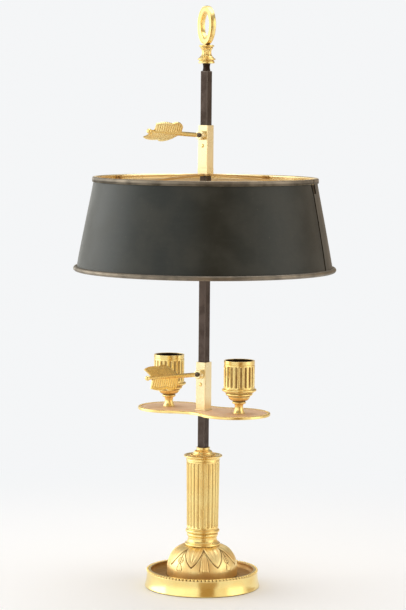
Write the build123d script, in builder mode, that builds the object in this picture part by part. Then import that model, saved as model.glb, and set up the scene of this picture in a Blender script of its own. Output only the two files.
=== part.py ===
"""Bouillotte table lamp: a candle arm and a shade that slide on one square rod and clamp with arrow keys.

Frame: origin on the table under the middle of the foot, +Z up, +X along the two candles,
the arrow keys pointing to -Y. Lengths are in millimetres, angles in degrees.
"""
import os
from math import atan2, cos, degrees, hypot, radians, sin, sqrt, tan

from build123d import *

os.makedirs("parts", exist_ok=True)

# ---------------------------------------------------------------- driving dimensions
# Round foot: a shallow cast dish, turned over at the lip, with a beaded edge
foot_radius = 59.7
foot_lip_radius = 57.7
foot_height = 18.0
foot_skirt_height = 2.0
foot_lip_width = 4.8
foot_floor_height = 11.8
foot_wall = 3.0
foot_bead_radius = 1.25
foot_bevel = 1.5
foot_wall_lean = 0.4

# Domed boss on the foot
dome_radius = 36.5
dome_wall_height = 7.2
dome_crown_height = 24.5
dome_top_radius = 16.3
dome_shell = 2.6

# Turned collar between dome and column
collar_ring_radius = 19.2
collar_ring_height = 3.0
collar_neck_radius = 15.4
collar_neck_height = 6.2
collar_roll_radius = 18.0
collar_roll_height = 7.6
collar_fillet_height = 1.1
spigot_height = 3.0

# Fluted column
column_foot_radius = 16.4
column_head_radius = 17.25
column_height = 71.1
column_wall = 4.0
column_flutes = 24
column_flute_radius = 1.75
column_flute_depth = 1.05
column_flute_margin = 2.6

# Flared cap and rod socket
cap_radius = 19.95
cap_height = 5.6
cap_edge_height = 1.5
cap_cove_radius = 5.6
socket_ring_radius = 11.1
socket_ring_height = 1.5
socket_top_radius = 7.0
socket_height = 7.9
socket_cove_radius = 7.5
rod_seat_depth = 4.3

# Square rod, its threaded tail down to the nut and its neck up to the finial
rod_side = 8.5
rod_edge = 0.4
rod_length = 388.0
rod_neck_radius = 3.75
rod_neck_length = 7.3
rod_stud_radius = 3.0
rod_stud_length = 9.0
tail_radius = 4.0
tail_overhang = 0.6
washer_radius = 11.0
washer_thickness = 1.5
base_nut_flats = 14.0
base_nut_height = 4.5

# Finial: a small baluster and a flat ring handle
baluster_ring_radius = 8.3
baluster_ring_height = 3.35
baluster_flare_radius = 9.3
baluster_flare_height = 3.15
baluster_waist_radius = 4.95
baluster_waist_height = 10.0
baluster_collar_radius = 7.8
baluster_collar_height = 2.6
baluster_bevel = 0.8
baluster_shoulder = 1.8
baluster_waist_level = 4.5
ring_outer_radius = 19.9
ring_inner_radius = 12.4
ring_thickness = 5.8
ring_edge_width = 1.5
ring_face_recess = 0.5
ring_turn = -34.0
ring_pad_radius = 2.7
ring_pad_height = 1.4
ring_peg_radius = 2.2
ring_peg_length = 6.0

# Square slides: each holds a leaf spring between its screw and the rod
spring_thickness = 0.45
spring_width = 6.0
spring_length = 22.0
running_gap = 0.15
slide_wall = 0.95
boss_radius = 4.6
boss_length = 6.5
boss_countersink = 0.6
rivet_radius = 1.1
rivet_head_radius = 2.0
rivet_head_height = 0.8
rivet_drop = 10.6

# Candle arm: a waisted plate with two candle nozzles
arm_clear_of_socket = 36.85
plate_thickness = 2.7
plate_recess = 0.6
plate_rim_width = 2.4
plate_lobe_radius = 37.0
plate_lobe_offset = 38.5
plate_waist_half_width = 26.0
arm_slide_height = 49.4
arm_flange_lip = 0.9
arm_flange_height = 1.6
arm_boss_height = 36.9
nozzle_offset = 44.3
nozzle_stud_radius = 2.5
nozzle_nut_flats = 9.0
nozzle_nut_height = 3.0
nozzle_stud_overhang = 0.6

# Candle nozzle, from its foot to its mouth
nozzle_foot_radius = 6.1
nozzle_foot_height = 2.8
nozzle_neck_radius = 4.65
nozzle_neck_height = 7.3
nozzle_neck_level = 5.0
nozzle_knop_radius = 7.6
nozzle_knop_height = 3.2
nozzle_knop_round = 1.0
nozzle_bowl_radius = 11.0
nozzle_bowl_height = 5.45
nozzle_step_radius = 13.4
nozzle_step_height = 4.25
nozzle_ring_radius = 17.8
nozzle_ring_height = 3.6
nozzle_body_radius = 15.8
nozzle_body_height = 28.2
nozzle_band_height = 4.8
nozzle_flutes = 20
nozzle_flute_radius = 1.9
nozzle_flute_depth = 1.1
candle_bore_radius = 11.25
candle_bore_depth = 24.0

# Arrow keys: a steel clamp screw in a gilt arrow with two vanes
key_rise = 3.0
screw_radius = 1.9
screw_bare_length = 6.0
tenon_radius = 1.25
tenon_length = 7.0
arrow_reach = 88.0
arrow_shaft_radius = 2.3
arrow_knob_radius = 2.7
arrow_knob_length = 3.6
vane_thickness = 1.3
vane_root = 1.8
vane_start = 30.0
vane_shoulder_reach = 41.0
vane_shoulder_rise = 11.6
vane_front_lobe_reach = 52.0
vane_front_lobe_rise = 14.2
vane_saddle_reach = 59.0
vane_saddle_rise = 13.6
vane_notch_reach = 64.0
vane_notch_rise = 11.8
vane_rear_lobe_reach = 73.0
vane_rear_lobe_rise = 13.0
vane_tip_reach = 84.5
vane_tip_rise = 10.6
vane_end = 79.0
arm_vane_lean = -28.0
shade_vane_lean = 52.0

# Shade carrier: slide, four-armed spider and tin shade
shade_slide_drop = 55.2
shade_slide_height = 43.8
shade_boss_drop = 10.4
hub_height = 7.7
spider_arms = 4
spider_arm_width = 5.0
spider_arm_thickness = 1.8
spider_tab_width = 8.0
shade_drop_of_rim = 1.7
shade_wall_height = 92.4
shade_top_radius = 114.2
shade_bottom_radius = 131.95
sheet_thickness = 0.7
seam_angle = 13.0
seam_gap = 1.3
strap_width = 9.0
strap_thickness = 0.7
top_band_height = 5.15
top_band_outset = 1.3
top_band_inset = 1.7
top_band_round = 1.0
band_cover = 1.5
top_band_gap = 1.0
bottom_roll_radius = 2.5
bottom_roll_outset = 0.85

# Clearances between pieces that fit together
close_fit = 0.05
loose_fit = 0.15

# ---------------------------------------------------------------- heights that follow from them
slide_bore = rod_side + 2 * (spring_thickness + running_gap)
slide_side = slide_bore + 2 * slide_wall
slide_face = slide_side / 2
tail_hole = tail_radius + loose_fit

z_dome_shoulder = foot_floor_height + dome_wall_height
z_dome_top = z_dome_shoulder + dome_crown_height
z_collar_neck = z_dome_top + collar_ring_height
z_collar_roll = z_collar_neck + collar_neck_height
z_collar_fillet = z_collar_roll + collar_roll_height
z_column_foot = z_collar_fillet + collar_fillet_height
z_column_head = z_column_foot + column_height
z_cap_top = z_column_head + cap_height
z_socket_top = z_cap_top + socket_height
z_rod_top = z_socket_top + rod_length
z_baluster = z_rod_top + rod_neck_length
z_baluster_flare = z_baluster + baluster_ring_height
z_baluster_waist = z_baluster_flare + baluster_flare_height
z_baluster_collar = z_baluster_waist + baluster_waist_height
z_baluster_top = z_baluster_collar + baluster_collar_height
z_ring = z_baluster_top + ring_outer_radius
z_foot_ceiling = foot_floor_height - foot_wall
z_washer = z_foot_ceiling - washer_thickness
z_base_nut = z_washer - base_nut_height

z_plate_bottom = z_socket_top + arm_clear_of_socket
z_plate_top = z_plate_bottom + plate_thickness
z_arm_slide_top = z_plate_top + arm_slide_height
z_arm_boss = z_plate_top + arm_boss_height
z_shade_slide_top = z_rod_top - shade_slide_drop
z_hub_top = z_shade_slide_top - shade_slide_height
z_hub_bottom = z_hub_top - hub_height
z_shade_boss = z_shade_slide_top - shade_boss_drop
z_band_top = z_hub_bottom - shade_drop_of_rim
z_band_bottom = z_band_top - top_band_height
z_sheet_top = z_band_top - band_cover
z_bottom_roll = z_sheet_top - shade_wall_height


# ---------------------------------------------------------------- shared shapes
def half_plane(turn=0.0, x=0.0):
    """Upright plane through a vertical axis at x: local x points out at the turn, local y up."""
    out = Vector(cos(radians(turn)), sin(radians(turn)), 0)
    return Plane(origin=(x, 0, 0), x_dir=out, z_dir=out.cross(Vector(0, 0, 1)))


def shade_outside(z):
    """Outer radius of the shade's wall at a height."""
    slope = (shade_bottom_radius - shade_top_radius) / (z_sheet_top - z_bottom_roll)
    return shade_top_radius + slope * (z_sheet_top - z)


key_axis = Vector(0, -cos(radians(key_rise)), sin(radians(key_rise)))


def boss_plane(z_boss):
    """Plane on the front face of a slide, its normal along the key."""
    return Plane(origin=(0, -slide_face, z_boss), x_dir=(1, 0, 0), z_dir=key_axis)


# ================================================================ the stand
# The foot is a dish upside down: a flared wall, a flat lip, a sunk floor, all one shell
with BuildPart() as foot_dish:
    with BuildSketch(half_plane()):
        with BuildLine():
            Polyline(
                (tail_hole, z_foot_ceiling),
                (tail_hole, foot_floor_height),
                (foot_lip_radius - foot_lip_width - foot_bevel, foot_floor_height),
                (foot_lip_radius - foot_lip_width, foot_floor_height + foot_bevel),
                (foot_lip_radius - foot_lip_width, foot_height),
                (foot_lip_radius - foot_bead_radius, foot_height),
                (foot_lip_radius - foot_bead_radius, foot_height - foot_bead_radius),
                (foot_lip_radius, foot_height - foot_bead_radius),
                (foot_lip_radius + foot_wall_lean, foot_skirt_height + foot_bevel),
                (foot_radius, foot_skirt_height),
                (foot_radius, 0),
                (foot_radius - foot_wall, 0),
                (foot_lip_radius - foot_wall, z_foot_ceiling),
                close=True,
            )
        make_face()
        with Locations((foot_lip_radius - foot_bead_radius / 2, foot_height - foot_bead_radius / 2)):
            Circle(foot_bead_radius)
    revolve(axis=Axis.Z)

# The dome is a cast cup that stands on the foot's floor, flat on top for the collar
with BuildPart() as leaf_dome:
    crown_width = dome_radius - dome_top_radius
    with BuildSketch(half_plane()):
        with BuildLine():
            Line((tail_hole, z_dome_top), (dome_top_radius, z_dome_top))
            EllipticalCenterArc(
                (dome_top_radius, z_dome_shoulder), crown_width, dome_crown_height, arc_size=90)
            Line((dome_radius, z_dome_shoulder), (dome_radius, foot_floor_height))
            Line((dome_radius, foot_floor_height), (dome_radius - dome_shell, foot_floor_height))
            Line((dome_radius - dome_shell, foot_floor_height), (dome_radius - dome_shell, z_dome_shoulder))
            EllipticalCenterArc(
                (dome_top_radius, z_dome_shoulder),
                crown_width - dome_shell, dome_crown_height - dome_shell, arc_size=90)
            Line((dome_top_radius, z_dome_top - dome_shell), (tail_hole, z_dome_top - dome_shell))
            Line((tail_hole, z_dome_top - dome_shell), (tail_hole, z_dome_top))
        make_face()
    revolve(axis=Axis.Z)

# The collar is turned: a flat ring, a hollow neck, a fat roll, and a spigot that centres the column
column_bore_radius = column_foot_radius - column_wall
spigot_radius = column_bore_radius - close_fit
with BuildPart() as column_collar:
    with BuildSketch(half_plane()):
        with BuildLine():
            Polyline(
                (tail_hole, z_dome_top),
                (collar_ring_radius, z_dome_top),
                (collar_ring_radius, z_collar_neck),
                ((collar_ring_radius + collar_neck_radius) / 2, z_collar_neck),
            )
            ThreePointArc(
                ((collar_ring_radius + collar_neck_radius) / 2, z_collar_neck),
                (collar_neck_radius, z_collar_neck + collar_neck_height / 2),
                (column_foot_radius, z_collar_roll),
            )
            ThreePointArc(
                (column_foot_radius, z_collar_roll),
                (collar_roll_radius, z_collar_roll + collar_roll_height / 2),
                (column_foot_radius, z_collar_fillet),
            )
            Polyline(
                (column_foot_radius, z_collar_fillet),
                (column_foot_radius, z_column_foot),
                (spigot_radius, z_column_foot),
                (spigot_radius, z_column_foot + spigot_height),
                (tail_hole, z_column_foot + spigot_height),
                (tail_hole, z_dome_top),
            )
        make_face()
    revolve(axis=Axis.Z)

# The column is a tapered tube with flutes that stop short of both ends in round scoops
flute_foot_z = z_column_foot + column_flute_margin + column_flute_radius
flute_head_z = z_column_head - column_flute_margin - column_flute_radius
column_flare = (column_head_radius - column_foot_radius) / column_height
flute_sink = column_flute_radius - column_flute_depth
flute_foot_radius = column_foot_radius + column_flare * (flute_foot_z - z_column_foot) + flute_sink
flute_head_radius = column_foot_radius + column_flare * (flute_head_z - z_column_foot) + flute_sink
with BuildPart() as fluted_column:
    with BuildSketch(half_plane()):
        with BuildLine():
            Polyline(
                (column_bore_radius, z_column_foot),
                (column_foot_radius, z_column_foot),
                (column_head_radius, z_column_head),
                (column_bore_radius, z_column_head),
                close=True,
            )
        make_face()
    revolve(axis=Axis.Z)
    with Locations((0, 0, (flute_foot_z + flute_head_z) / 2)):
        with PolarLocations((flute_foot_radius + flute_head_radius) / 2, column_flutes):
            Cylinder(
                column_flute_radius,
                hypot(flute_head_z - flute_foot_z, flute_head_radius - flute_foot_radius),
                rotation=(0, degrees(atan2(column_flare, 1)), 0),
                mode=Mode.SUBTRACT,
            )
    for flute_z, flute_r in ((flute_foot_z, flute_foot_radius), (flute_head_z, flute_head_radius)):
        with Locations((0, 0, flute_z)):
            with PolarLocations(flute_r, column_flutes):
                Sphere(column_flute_radius, mode=Mode.SUBTRACT)

# The cap flares out over the column and drops a spigot into it
with BuildPart() as column_cap:
    with BuildSketch(half_plane()):
        with BuildLine():
            Polyline(
                (tail_hole, z_column_head - spigot_height),
                (spigot_radius, z_column_head - spigot_height),
                (spigot_radius, z_column_head),
                (column_head_radius, z_column_head),
            )
            RadiusArc(
                (column_head_radius, z_column_head),
                (cap_radius, z_cap_top - cap_edge_height),
                -cap_cove_radius,
            )
            Polyline(
                (cap_radius, z_cap_top - cap_edge_height),
                (cap_radius, z_cap_top),
                (tail_hole, z_cap_top),
                (tail_hole, z_column_head - spigot_height),
            )
        make_face()
    revolve(axis=Axis.Z)

# The socket holds the square end of the rod in a square pocket, so the rod can't turn
with BuildPart() as rod_socket:
    with BuildSketch(half_plane()):
        with BuildLine():
            Polyline(
                (socket_top_radius, z_socket_top),
                (0, z_socket_top),
                (0, z_cap_top),
                (socket_ring_radius, z_cap_top),
                (socket_ring_radius, z_cap_top + socket_ring_height),
            )
            RadiusArc(
                (socket_ring_radius, z_cap_top + socket_ring_height),
                (socket_top_radius, z_socket_top),
                -socket_cove_radius,
            )
        make_face()
    revolve(axis=Axis.Z)
    with Locations((0, 0, z_cap_top)):
        Hole(tail_hole, depth=2 * socket_height)
    with BuildSketch(Plane.XY.offset(z_socket_top - rod_seat_depth)):
        Rectangle(rod_side + 2 * close_fit, rod_side + 2 * close_fit)
    extrude(amount=2 * rod_seat_depth, mode=Mode.SUBTRACT)

# The rod: square where the slides run, round in the neck and stud above and in the tail below
z_rod_foot = z_socket_top - rod_seat_depth
z_tail_end = z_base_nut - tail_overhang
with BuildPart() as stem_rod:
    with BuildSketch(Plane.XY.offset(z_rod_foot)):
        Rectangle(rod_side, rod_side)
    extrude(amount=z_rod_top - z_rod_foot)
    chamfer(stem_rod.edges().filter_by(Axis.Z), rod_edge)
    with BuildSketch(Plane.XY.offset(z_rod_top)):
        Circle(rod_neck_radius)
    extrude(amount=rod_neck_length)
    with BuildSketch(Plane.XY.offset(z_baluster)):
        Circle(rod_stud_radius)
    extrude(amount=rod_stud_length)
    with BuildSketch(Plane.XY.offset(z_tail_end)):
        Circle(tail_radius)
    extrude(amount=z_rod_foot - z_tail_end)

# Washer and nut under the foot draw foot, dome, collar, column, cap and socket together
with BuildPart() as base_washer:
    with BuildSketch(Plane.XY.offset(z_washer)):
        Circle(washer_radius)
        Circle(tail_hole, mode=Mode.SUBTRACT)
    extrude(amount=washer_thickness)

with BuildPart() as base_nut:
    with BuildSketch(Plane.XY.offset(z_base_nut)):
        RegularPolygon(base_nut_flats / 2, 6, major_radius=False)
        Circle(tail_radius + close_fit, mode=Mode.SUBTRACT)
    extrude(amount=base_nut_height)

# The baluster screws on the rod's stud and takes the ring's peg in its top
with BuildPart() as finial_baluster:
    with BuildSketch(half_plane()):
        with BuildLine():
            Polyline(
                (0, z_baluster_top),
                (0, z_baluster),
                (baluster_ring_radius, z_baluster),
                (baluster_ring_radius, z_baluster_flare - baluster_bevel),
                (baluster_ring_radius - baluster_bevel, z_baluster_flare),
                (baluster_flare_radius, z_baluster_flare + baluster_bevel),
                (baluster_flare_radius, z_baluster_flare + 2 * baluster_bevel),
                (baluster_waist_radius + baluster_shoulder, z_baluster_waist),
            )
            ThreePointArc(
                (baluster_waist_radius + baluster_shoulder, z_baluster_waist),
                (baluster_waist_radius, z_baluster_waist + baluster_waist_level),
                (baluster_collar_radius - 2 * baluster_bevel, z_baluster_collar - baluster_bevel),
            )
            Polyline(
                (baluster_collar_radius - 2 * baluster_bevel, z_baluster_collar - baluster_bevel),
                (baluster_collar_radius, z_baluster_collar),
                (baluster_collar_radius, z_baluster_top),
                (0, z_baluster_top),
            )
        make_face()
    revolve(axis=Axis.Z)
    with BuildSketch(Plane.XY.offset(z_baluster)):
        Circle(rod_stud_radius + close_fit)
    extrude(amount=rod_stud_length + loose_fit, mode=Mode.SUBTRACT)
    with BuildSketch(Plane.XY.offset(z_baluster_top)):
        Circle(ring_peg_radius + close_fit)
    extrude(amount=-(ring_peg_length + loose_fit), mode=Mode.SUBTRACT)

# The ring handle is flat, with a raised edge round each face, and stands on a peg
ring_normal = Vector(sin(radians(ring_turn)), -cos(radians(ring_turn)), 0)
ring_plane = Plane(origin=(0, 0, z_ring), x_dir=Vector(0, 0, 1), z_dir=ring_normal)
with BuildPart() as finial_ring:
    with BuildSketch(ring_plane):
        Circle(ring_outer_radius)
        Circle(ring_inner_radius, mode=Mode.SUBTRACT)
    extrude(amount=ring_thickness / 2, both=True)
    for face_side in (-1, 1):
        with BuildSketch(ring_plane.offset(face_side * (ring_thickness / 2 - ring_face_recess))):
            Circle(ring_outer_radius - ring_edge_width)
            Circle(ring_inner_radius + ring_edge_width, mode=Mode.SUBTRACT)
        extrude(amount=face_side * 2 * ring_face_recess, mode=Mode.SUBTRACT)
    with BuildSketch(Plane.XY.offset(z_baluster_top)):
        Circle(ring_pad_radius)
    extrude(amount=ring_pad_height)
    with BuildSketch(Plane.XY.offset(z_baluster_top - ring_peg_length)):
        Circle(ring_peg_radius)
    extrude(amount=ring_peg_length + ring_pad_height)

# ================================================================ the candle arm
# Plate outline: two round lobes joined by two hollow arcs that run smoothly into them
waist_radius = (
    (plate_lobe_offset ** 2 + plate_waist_half_width ** 2 - plate_lobe_radius ** 2)
    / (2 * (plate_lobe_radius - plate_waist_half_width))
)
waist_centre_y = plate_waist_half_width + waist_radius
lobe_half_opening = degrees(atan2(waist_centre_y, plate_lobe_offset))
waist_half_opening = 90 - lobe_half_opening
with BuildPart() as candle_plate:
    with BuildSketch(Plane.XY.offset(z_plate_bottom)) as plate_outline:
        with BuildLine():
            CenterArc((plate_lobe_offset, 0), plate_lobe_radius,
                      lobe_half_opening - 180, 360 - 2 * lobe_half_opening)
            CenterArc((-plate_lobe_offset, 0), plate_lobe_radius,
                      lobe_half_opening, 360 - 2 * lobe_half_opening)
            CenterArc((0, waist_centre_y), waist_radius,
                      270 - waist_half_opening, 2 * waist_half_opening)
            CenterArc((0, -waist_centre_y), waist_radius,
                      90 - waist_half_opening, 2 * waist_half_opening)
        make_face()
    extrude(amount=plate_thickness)
    with BuildSketch(Plane.XY.offset(z_plate_top)):
        add(plate_outline.sketch_local)
        offset(amount=-plate_rim_width)
    extrude(amount=-plate_recess, mode=Mode.SUBTRACT)
    with BuildSketch(Plane.XY.offset(z_plate_bottom)):
        Rectangle(slide_side + 2 * close_fit, slide_side + 2 * close_fit)
        with Locations((-nozzle_offset, 0), (nozzle_offset, 0)):
            Circle(nozzle_stud_radius + loose_fit)
    extrude(amount=2 * plate_thickness, mode=Mode.SUBTRACT)

z_plate_field = z_plate_top - plate_recess


def make_slide(z_bottom, z_top, z_boss):
    """Square tube with a boss for the clamp screw and a rivet hole, both in its front wall."""
    with BuildPart() as slide:
        with BuildSketch(Plane.XY.offset(z_bottom)):
            Rectangle(slide_side, slide_side)
            Rectangle(slide_bore, slide_bore, mode=Mode.SUBTRACT)
        extrude(amount=z_top - z_bottom)
        with BuildSketch(boss_plane(z_boss).offset(-slide_wall / 2)):
            Circle(boss_radius)
        extrude(amount=boss_length + slide_wall / 2)
        with BuildSketch(boss_plane(z_boss).offset(boss_length)):
            Circle(screw_radius + close_fit)
        extrude(amount=-(boss_length + 2 * slide_wall), mode=Mode.SUBTRACT)
        with BuildSketch(boss_plane(z_boss).offset(boss_length)):
            Circle(screw_radius + boss_countersink)
        extrude(amount=-boss_countersink, taper=30, mode=Mode.SUBTRACT)
        with BuildSketch(Plane(origin=(0, -slide_face, z_boss - rivet_drop), z_dir=(0, -1, 0))):
            Circle(rivet_radius + close_fit)
        extrude(amount=-2 * slide_wall, mode=Mode.SUBTRACT)
    return slide.part


# The arm's slide passes down through the plate and rests on it with a small flange
arm_tube = make_slide(z_plate_bottom, z_arm_slide_top, z_arm_boss)
with BuildPart() as arm_slide:
    add(arm_tube)
    with BuildSketch(Plane.XY.offset(z_plate_field)):
        Rectangle(slide_side + 2 * arm_flange_lip, slide_side + 2 * arm_flange_lip)
        Rectangle(slide_side, slide_side, mode=Mode.SUBTRACT)
    extrude(amount=arm_flange_height)


def make_spring_leaf(z_boss):
    """Spring leaf along the inside of a slide's front wall, held by its rivet, under the screw."""
    with BuildPart() as leaf:
        z_leaf_foot = z_boss - rivet_drop - spring_width / 2
        with BuildSketch(Plane(origin=(0, -slide_bore / 2, z_leaf_foot), z_dir=(0, 1, 0), x_dir=(1, 0, 0))):
            with Locations((0, -spring_length / 2)):
                Rectangle(spring_width, spring_length)
            with Locations((0, -spring_width / 2)):
                Circle(rivet_radius + close_fit, mode=Mode.SUBTRACT)
        extrude(amount=spring_thickness)
    return leaf.part


def make_spring_rivet(z_boss):
    """Round-headed rivet through the slide's front wall and the spring leaf."""
    with BuildPart() as rivet:
        head_plane = Plane(origin=(0, -slide_face, z_boss - rivet_drop), z_dir=(0, -1, 0))
        with BuildSketch(head_plane):
            Circle(rivet_radius)
        extrude(amount=-(slide_wall + spring_thickness))
        with BuildSketch(head_plane):
            Circle(rivet_head_radius)
        extrude(amount=rivet_head_height, taper=35)
    return rivet.part


arm_spring_leaf = make_spring_leaf(z_arm_boss)
arm_spring_rivet = make_spring_rivet(z_arm_boss)


def make_nozzle(x):
    """Vase-shaped candle nozzle, turned about a vertical axis at x, fluted round its cup."""
    z_neck = z_plate_field + nozzle_foot_height
    z_knop = z_neck + nozzle_neck_height
    z_bowl = z_knop + nozzle_knop_height
    z_step = z_bowl + nozzle_bowl_height
    z_ring_foot = z_step + nozzle_step_height
    z_body = z_ring_foot + nozzle_ring_height
    z_mouth = z_body + nozzle_body_height
    z_flute_foot = z_body + nozzle_flute_radius
    z_flute_head = z_mouth - nozzle_band_height - nozzle_flute_radius
    flute_axis_radius = nozzle_body_radius + nozzle_flute_radius - nozzle_flute_depth
    axis = Axis((x, 0, 0), (0, 0, 1))
    with BuildPart() as nozzle:
        with BuildSketch(half_plane(x=x)):
            with BuildLine():
                Polyline(
                    (0, z_mouth),
                    (0, z_plate_bottom - nozzle_nut_height - nozzle_stud_overhang),
                    (nozzle_stud_radius, z_plate_bottom - nozzle_nut_height - nozzle_stud_overhang),
                    (nozzle_stud_radius, z_plate_field),
                    (nozzle_foot_radius, z_plate_field),
                )
                ThreePointArc(
                    (nozzle_foot_radius, z_plate_field),
                    (nozzle_neck_radius, z_neck + nozzle_neck_level),
                    (nozzle_knop_radius - nozzle_knop_round, z_knop),
                )
                ThreePointArc(
                    (nozzle_knop_radius - nozzle_knop_round, z_knop),
                    (nozzle_knop_radius, z_knop + nozzle_knop_height / 2),
                    (nozzle_knop_radius - nozzle_knop_round, z_bowl),
                )
                ThreePointArc(
                    (nozzle_knop_radius - nozzle_knop_round, z_bowl),
                    (nozzle_bowl_radius, z_bowl + nozzle_bowl_height / 2),
                    (nozzle_step_radius, z_step),
                )
                Polyline(
                    (nozzle_step_radius, z_step),
                    (nozzle_step_radius, z_ring_foot),
                    (nozzle_ring_radius - nozzle_ring_height / 2, z_ring_foot),
                )
                ThreePointArc(
                    (nozzle_ring_radius - nozzle_ring_height / 2, z_ring_foot),
                    (nozzle_ring_radius, z_ring_foot + nozzle_ring_height / 2),
                    (nozzle_ring_radius - nozzle_ring_height / 2, z_body),
                )
                Polyline(
                    (nozzle_ring_radius - nozzle_ring_height / 2, z_body),
                    (nozzle_body_radius, z_body),
                    (nozzle_body_radius, z_mouth),
                    (0, z_mouth),
                )
            make_face()
        revolve(axis=axis)
        with Locations((x, 0, (z_flute_foot + z_flute_head) / 2)):
            with PolarLocations(flute_axis_radius, nozzle_flutes):
                Cylinder(nozzle_flute_radius, z_flute_head - z_flute_foot, mode=Mode.SUBTRACT)
        for flute_end in (z_flute_foot, z_flute_head):
            with Locations((x, 0, flute_end)):
                with PolarLocations(flute_axis_radius, nozzle_flutes):
                    Sphere(nozzle_flute_radius, mode=Mode.SUBTRACT)
        with BuildSketch(Plane.XY.offset(z_mouth)):
            with Locations((x, 0)):
                Circle(candle_bore_radius)
        extrude(amount=-candle_bore_depth, mode=Mode.SUBTRACT)
    return nozzle.part


left_nozzle = make_nozzle(-nozzle_offset)
right_nozzle = make_nozzle(nozzle_offset)

# One nut on each nozzle's stud, under the plate
with BuildPart() as nozzle_nuts:
    with BuildSketch(Plane.XY.offset(z_plate_bottom - nozzle_nut_height)):
        with Locations((-nozzle_offset, 0), (nozzle_offset, 0)):
            RegularPolygon(nozzle_nut_flats / 2, 6, major_radius=False)
            Circle(nozzle_stud_radius + close_fit, mode=Mode.SUBTRACT)
    extrude(amount=nozzle_nut_height)


# ================================================================ the arrow keys
def make_key_screw(z_boss):
    """Steel clamp screw: its tip stops just short of the spring leaf, its tenon is in the arrow."""
    face = boss_plane(z_boss)
    tip = slide_wall / cos(radians(key_rise)) - loose_fit
    with BuildPart() as screw:
        with BuildSketch(face.offset(-tip + screw_radius * tan(radians(key_rise)))):
            Circle(screw_radius)
        extrude(amount=tip - screw_radius * tan(radians(key_rise)) + boss_length + screw_bare_length)
        with BuildSketch(face.offset(boss_length + screw_bare_length)):
            Circle(tenon_radius)
        extrude(amount=tenon_length)
    return screw.part


def make_key_arrow(z_boss, lean):
    """Gilt arrow: a round shaft with a knob at its tail and two feathered vanes, leaning about it."""
    face = boss_plane(z_boss)
    boss_end = face.origin + key_axis * boss_length
    key_up = Vector(0, sin(radians(key_rise)), cos(radians(key_rise)))
    vane_up = key_up * cos(radians(lean)) + Vector(1, 0, 0) * sin(radians(lean))
    vane_plane = Plane(origin=boss_end, x_dir=key_axis, z_dir=key_axis.cross(vane_up))
    shoulder = (vane_shoulder_reach, vane_shoulder_rise)
    front_lobe = (vane_front_lobe_reach, vane_front_lobe_rise)
    saddle = (vane_saddle_reach, vane_saddle_rise)
    notch = (vane_notch_reach, vane_notch_rise)
    rear_lobe = (vane_rear_lobe_reach, vane_rear_lobe_rise)
    tip = (vane_tip_reach, vane_tip_rise)
    with BuildPart() as arrow:
        with BuildSketch(face.offset(boss_length + screw_bare_length)):
            Circle(arrow_shaft_radius)
        extrude(amount=arrow_reach - screw_bare_length)
        with BuildSketch(face.offset(boss_length + arrow_reach - arrow_knob_length)):
            Circle(arrow_knob_radius)
        extrude(amount=arrow_knob_length)
        with BuildSketch(vane_plane):
            with BuildLine():
                Line((vane_end, 0), (vane_start, 0))
                Line((vane_start, 0), (vane_start, vane_root))
                ThreePointArc((vane_start, vane_root), shoulder, front_lobe)
                ThreePointArc(front_lobe, saddle, notch)
                ThreePointArc(notch, rear_lobe, tip)
                Line(tip, (vane_end, vane_root))
                Line((vane_end, vane_root), (vane_end, 0))
            make_face()
            mirror(about=Plane.XZ)
        extrude(amount=vane_thickness / 2, both=True)
        with BuildSketch(face.offset(boss_length + screw_bare_length)):
            Circle(tenon_radius + close_fit)
        extrude(amount=tenon_length + loose_fit, mode=Mode.SUBTRACT)
    return arrow.part


arm_key_screw = make_key_screw(z_arm_boss)
arm_key_arrow = make_key_arrow(z_arm_boss, arm_vane_lean)
shade_key_screw = make_key_screw(z_shade_boss)
shade_key_arrow = make_key_arrow(z_shade_boss, shade_vane_lean)

# ================================================================ the shade carrier
shade_slide = make_slide(z_hub_top, z_shade_slide_top, z_shade_boss)
shade_spring_leaf = make_spring_leaf(z_shade_boss)
shade_spring_rivet = make_spring_rivet(z_shade_boss)

# The spider: a square hub brazed under the slide, four flat arms and a tab on each, inside the top band
band_outside = shade_outside(z_band_bottom) + top_band_outset
band_inside = shade_outside(z_sheet_top) - sheet_thickness - top_band_inset
tab_outside = sqrt((band_inside - close_fit) ** 2 - (spider_tab_width / 2) ** 2)
tab_inside = tab_outside - spider_arm_thickness
with BuildPart() as shade_spider:
    for arm in range(spider_arms):
        arm_plane = half_plane(arm * 360 / spider_arms)
        with BuildSketch(arm_plane):
            with BuildLine():
                Polyline(
                    (slide_face - slide_wall / 2, z_hub_bottom),
                    (tab_inside, z_band_top - 2 * spider_arm_thickness),
                    (tab_inside + spider_arm_thickness / 2, z_band_top - spider_arm_thickness),
                    (slide_face - slide_wall / 2, z_hub_bottom + spider_arm_thickness),
                    close=True,
                )
            make_face()
        extrude(amount=spider_arm_width / 2, both=True)
        with BuildSketch(arm_plane):
            with BuildLine():
                Polyline(
                    (tab_inside, z_band_bottom),
                    (tab_outside, z_band_bottom),
                    (tab_outside, z_band_top - spider_arm_thickness / 2),
                    (tab_inside, z_band_top - spider_arm_thickness / 2),
                    close=True,
                )
            make_face()
        extrude(amount=spider_tab_width / 2, both=True)
    with BuildSketch(Plane.XY.offset(z_hub_bottom)):
        Rectangle(slide_side, slide_side)
    extrude(amount=hub_height)
    with BuildSketch(Plane.XY.offset(z_hub_bottom)):
        Rectangle(slide_bore, slide_bore)
    extrude(amount=hub_height, mode=Mode.SUBTRACT)

# The shade is rolled from two tin sheets that meet in two open seams, each backed by a strap
seam_gap_angle = degrees(seam_gap / shade_outside((z_sheet_top + z_bottom_roll) / 2))
roll_centre_radius = shade_bottom_radius + bottom_roll_outset


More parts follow.
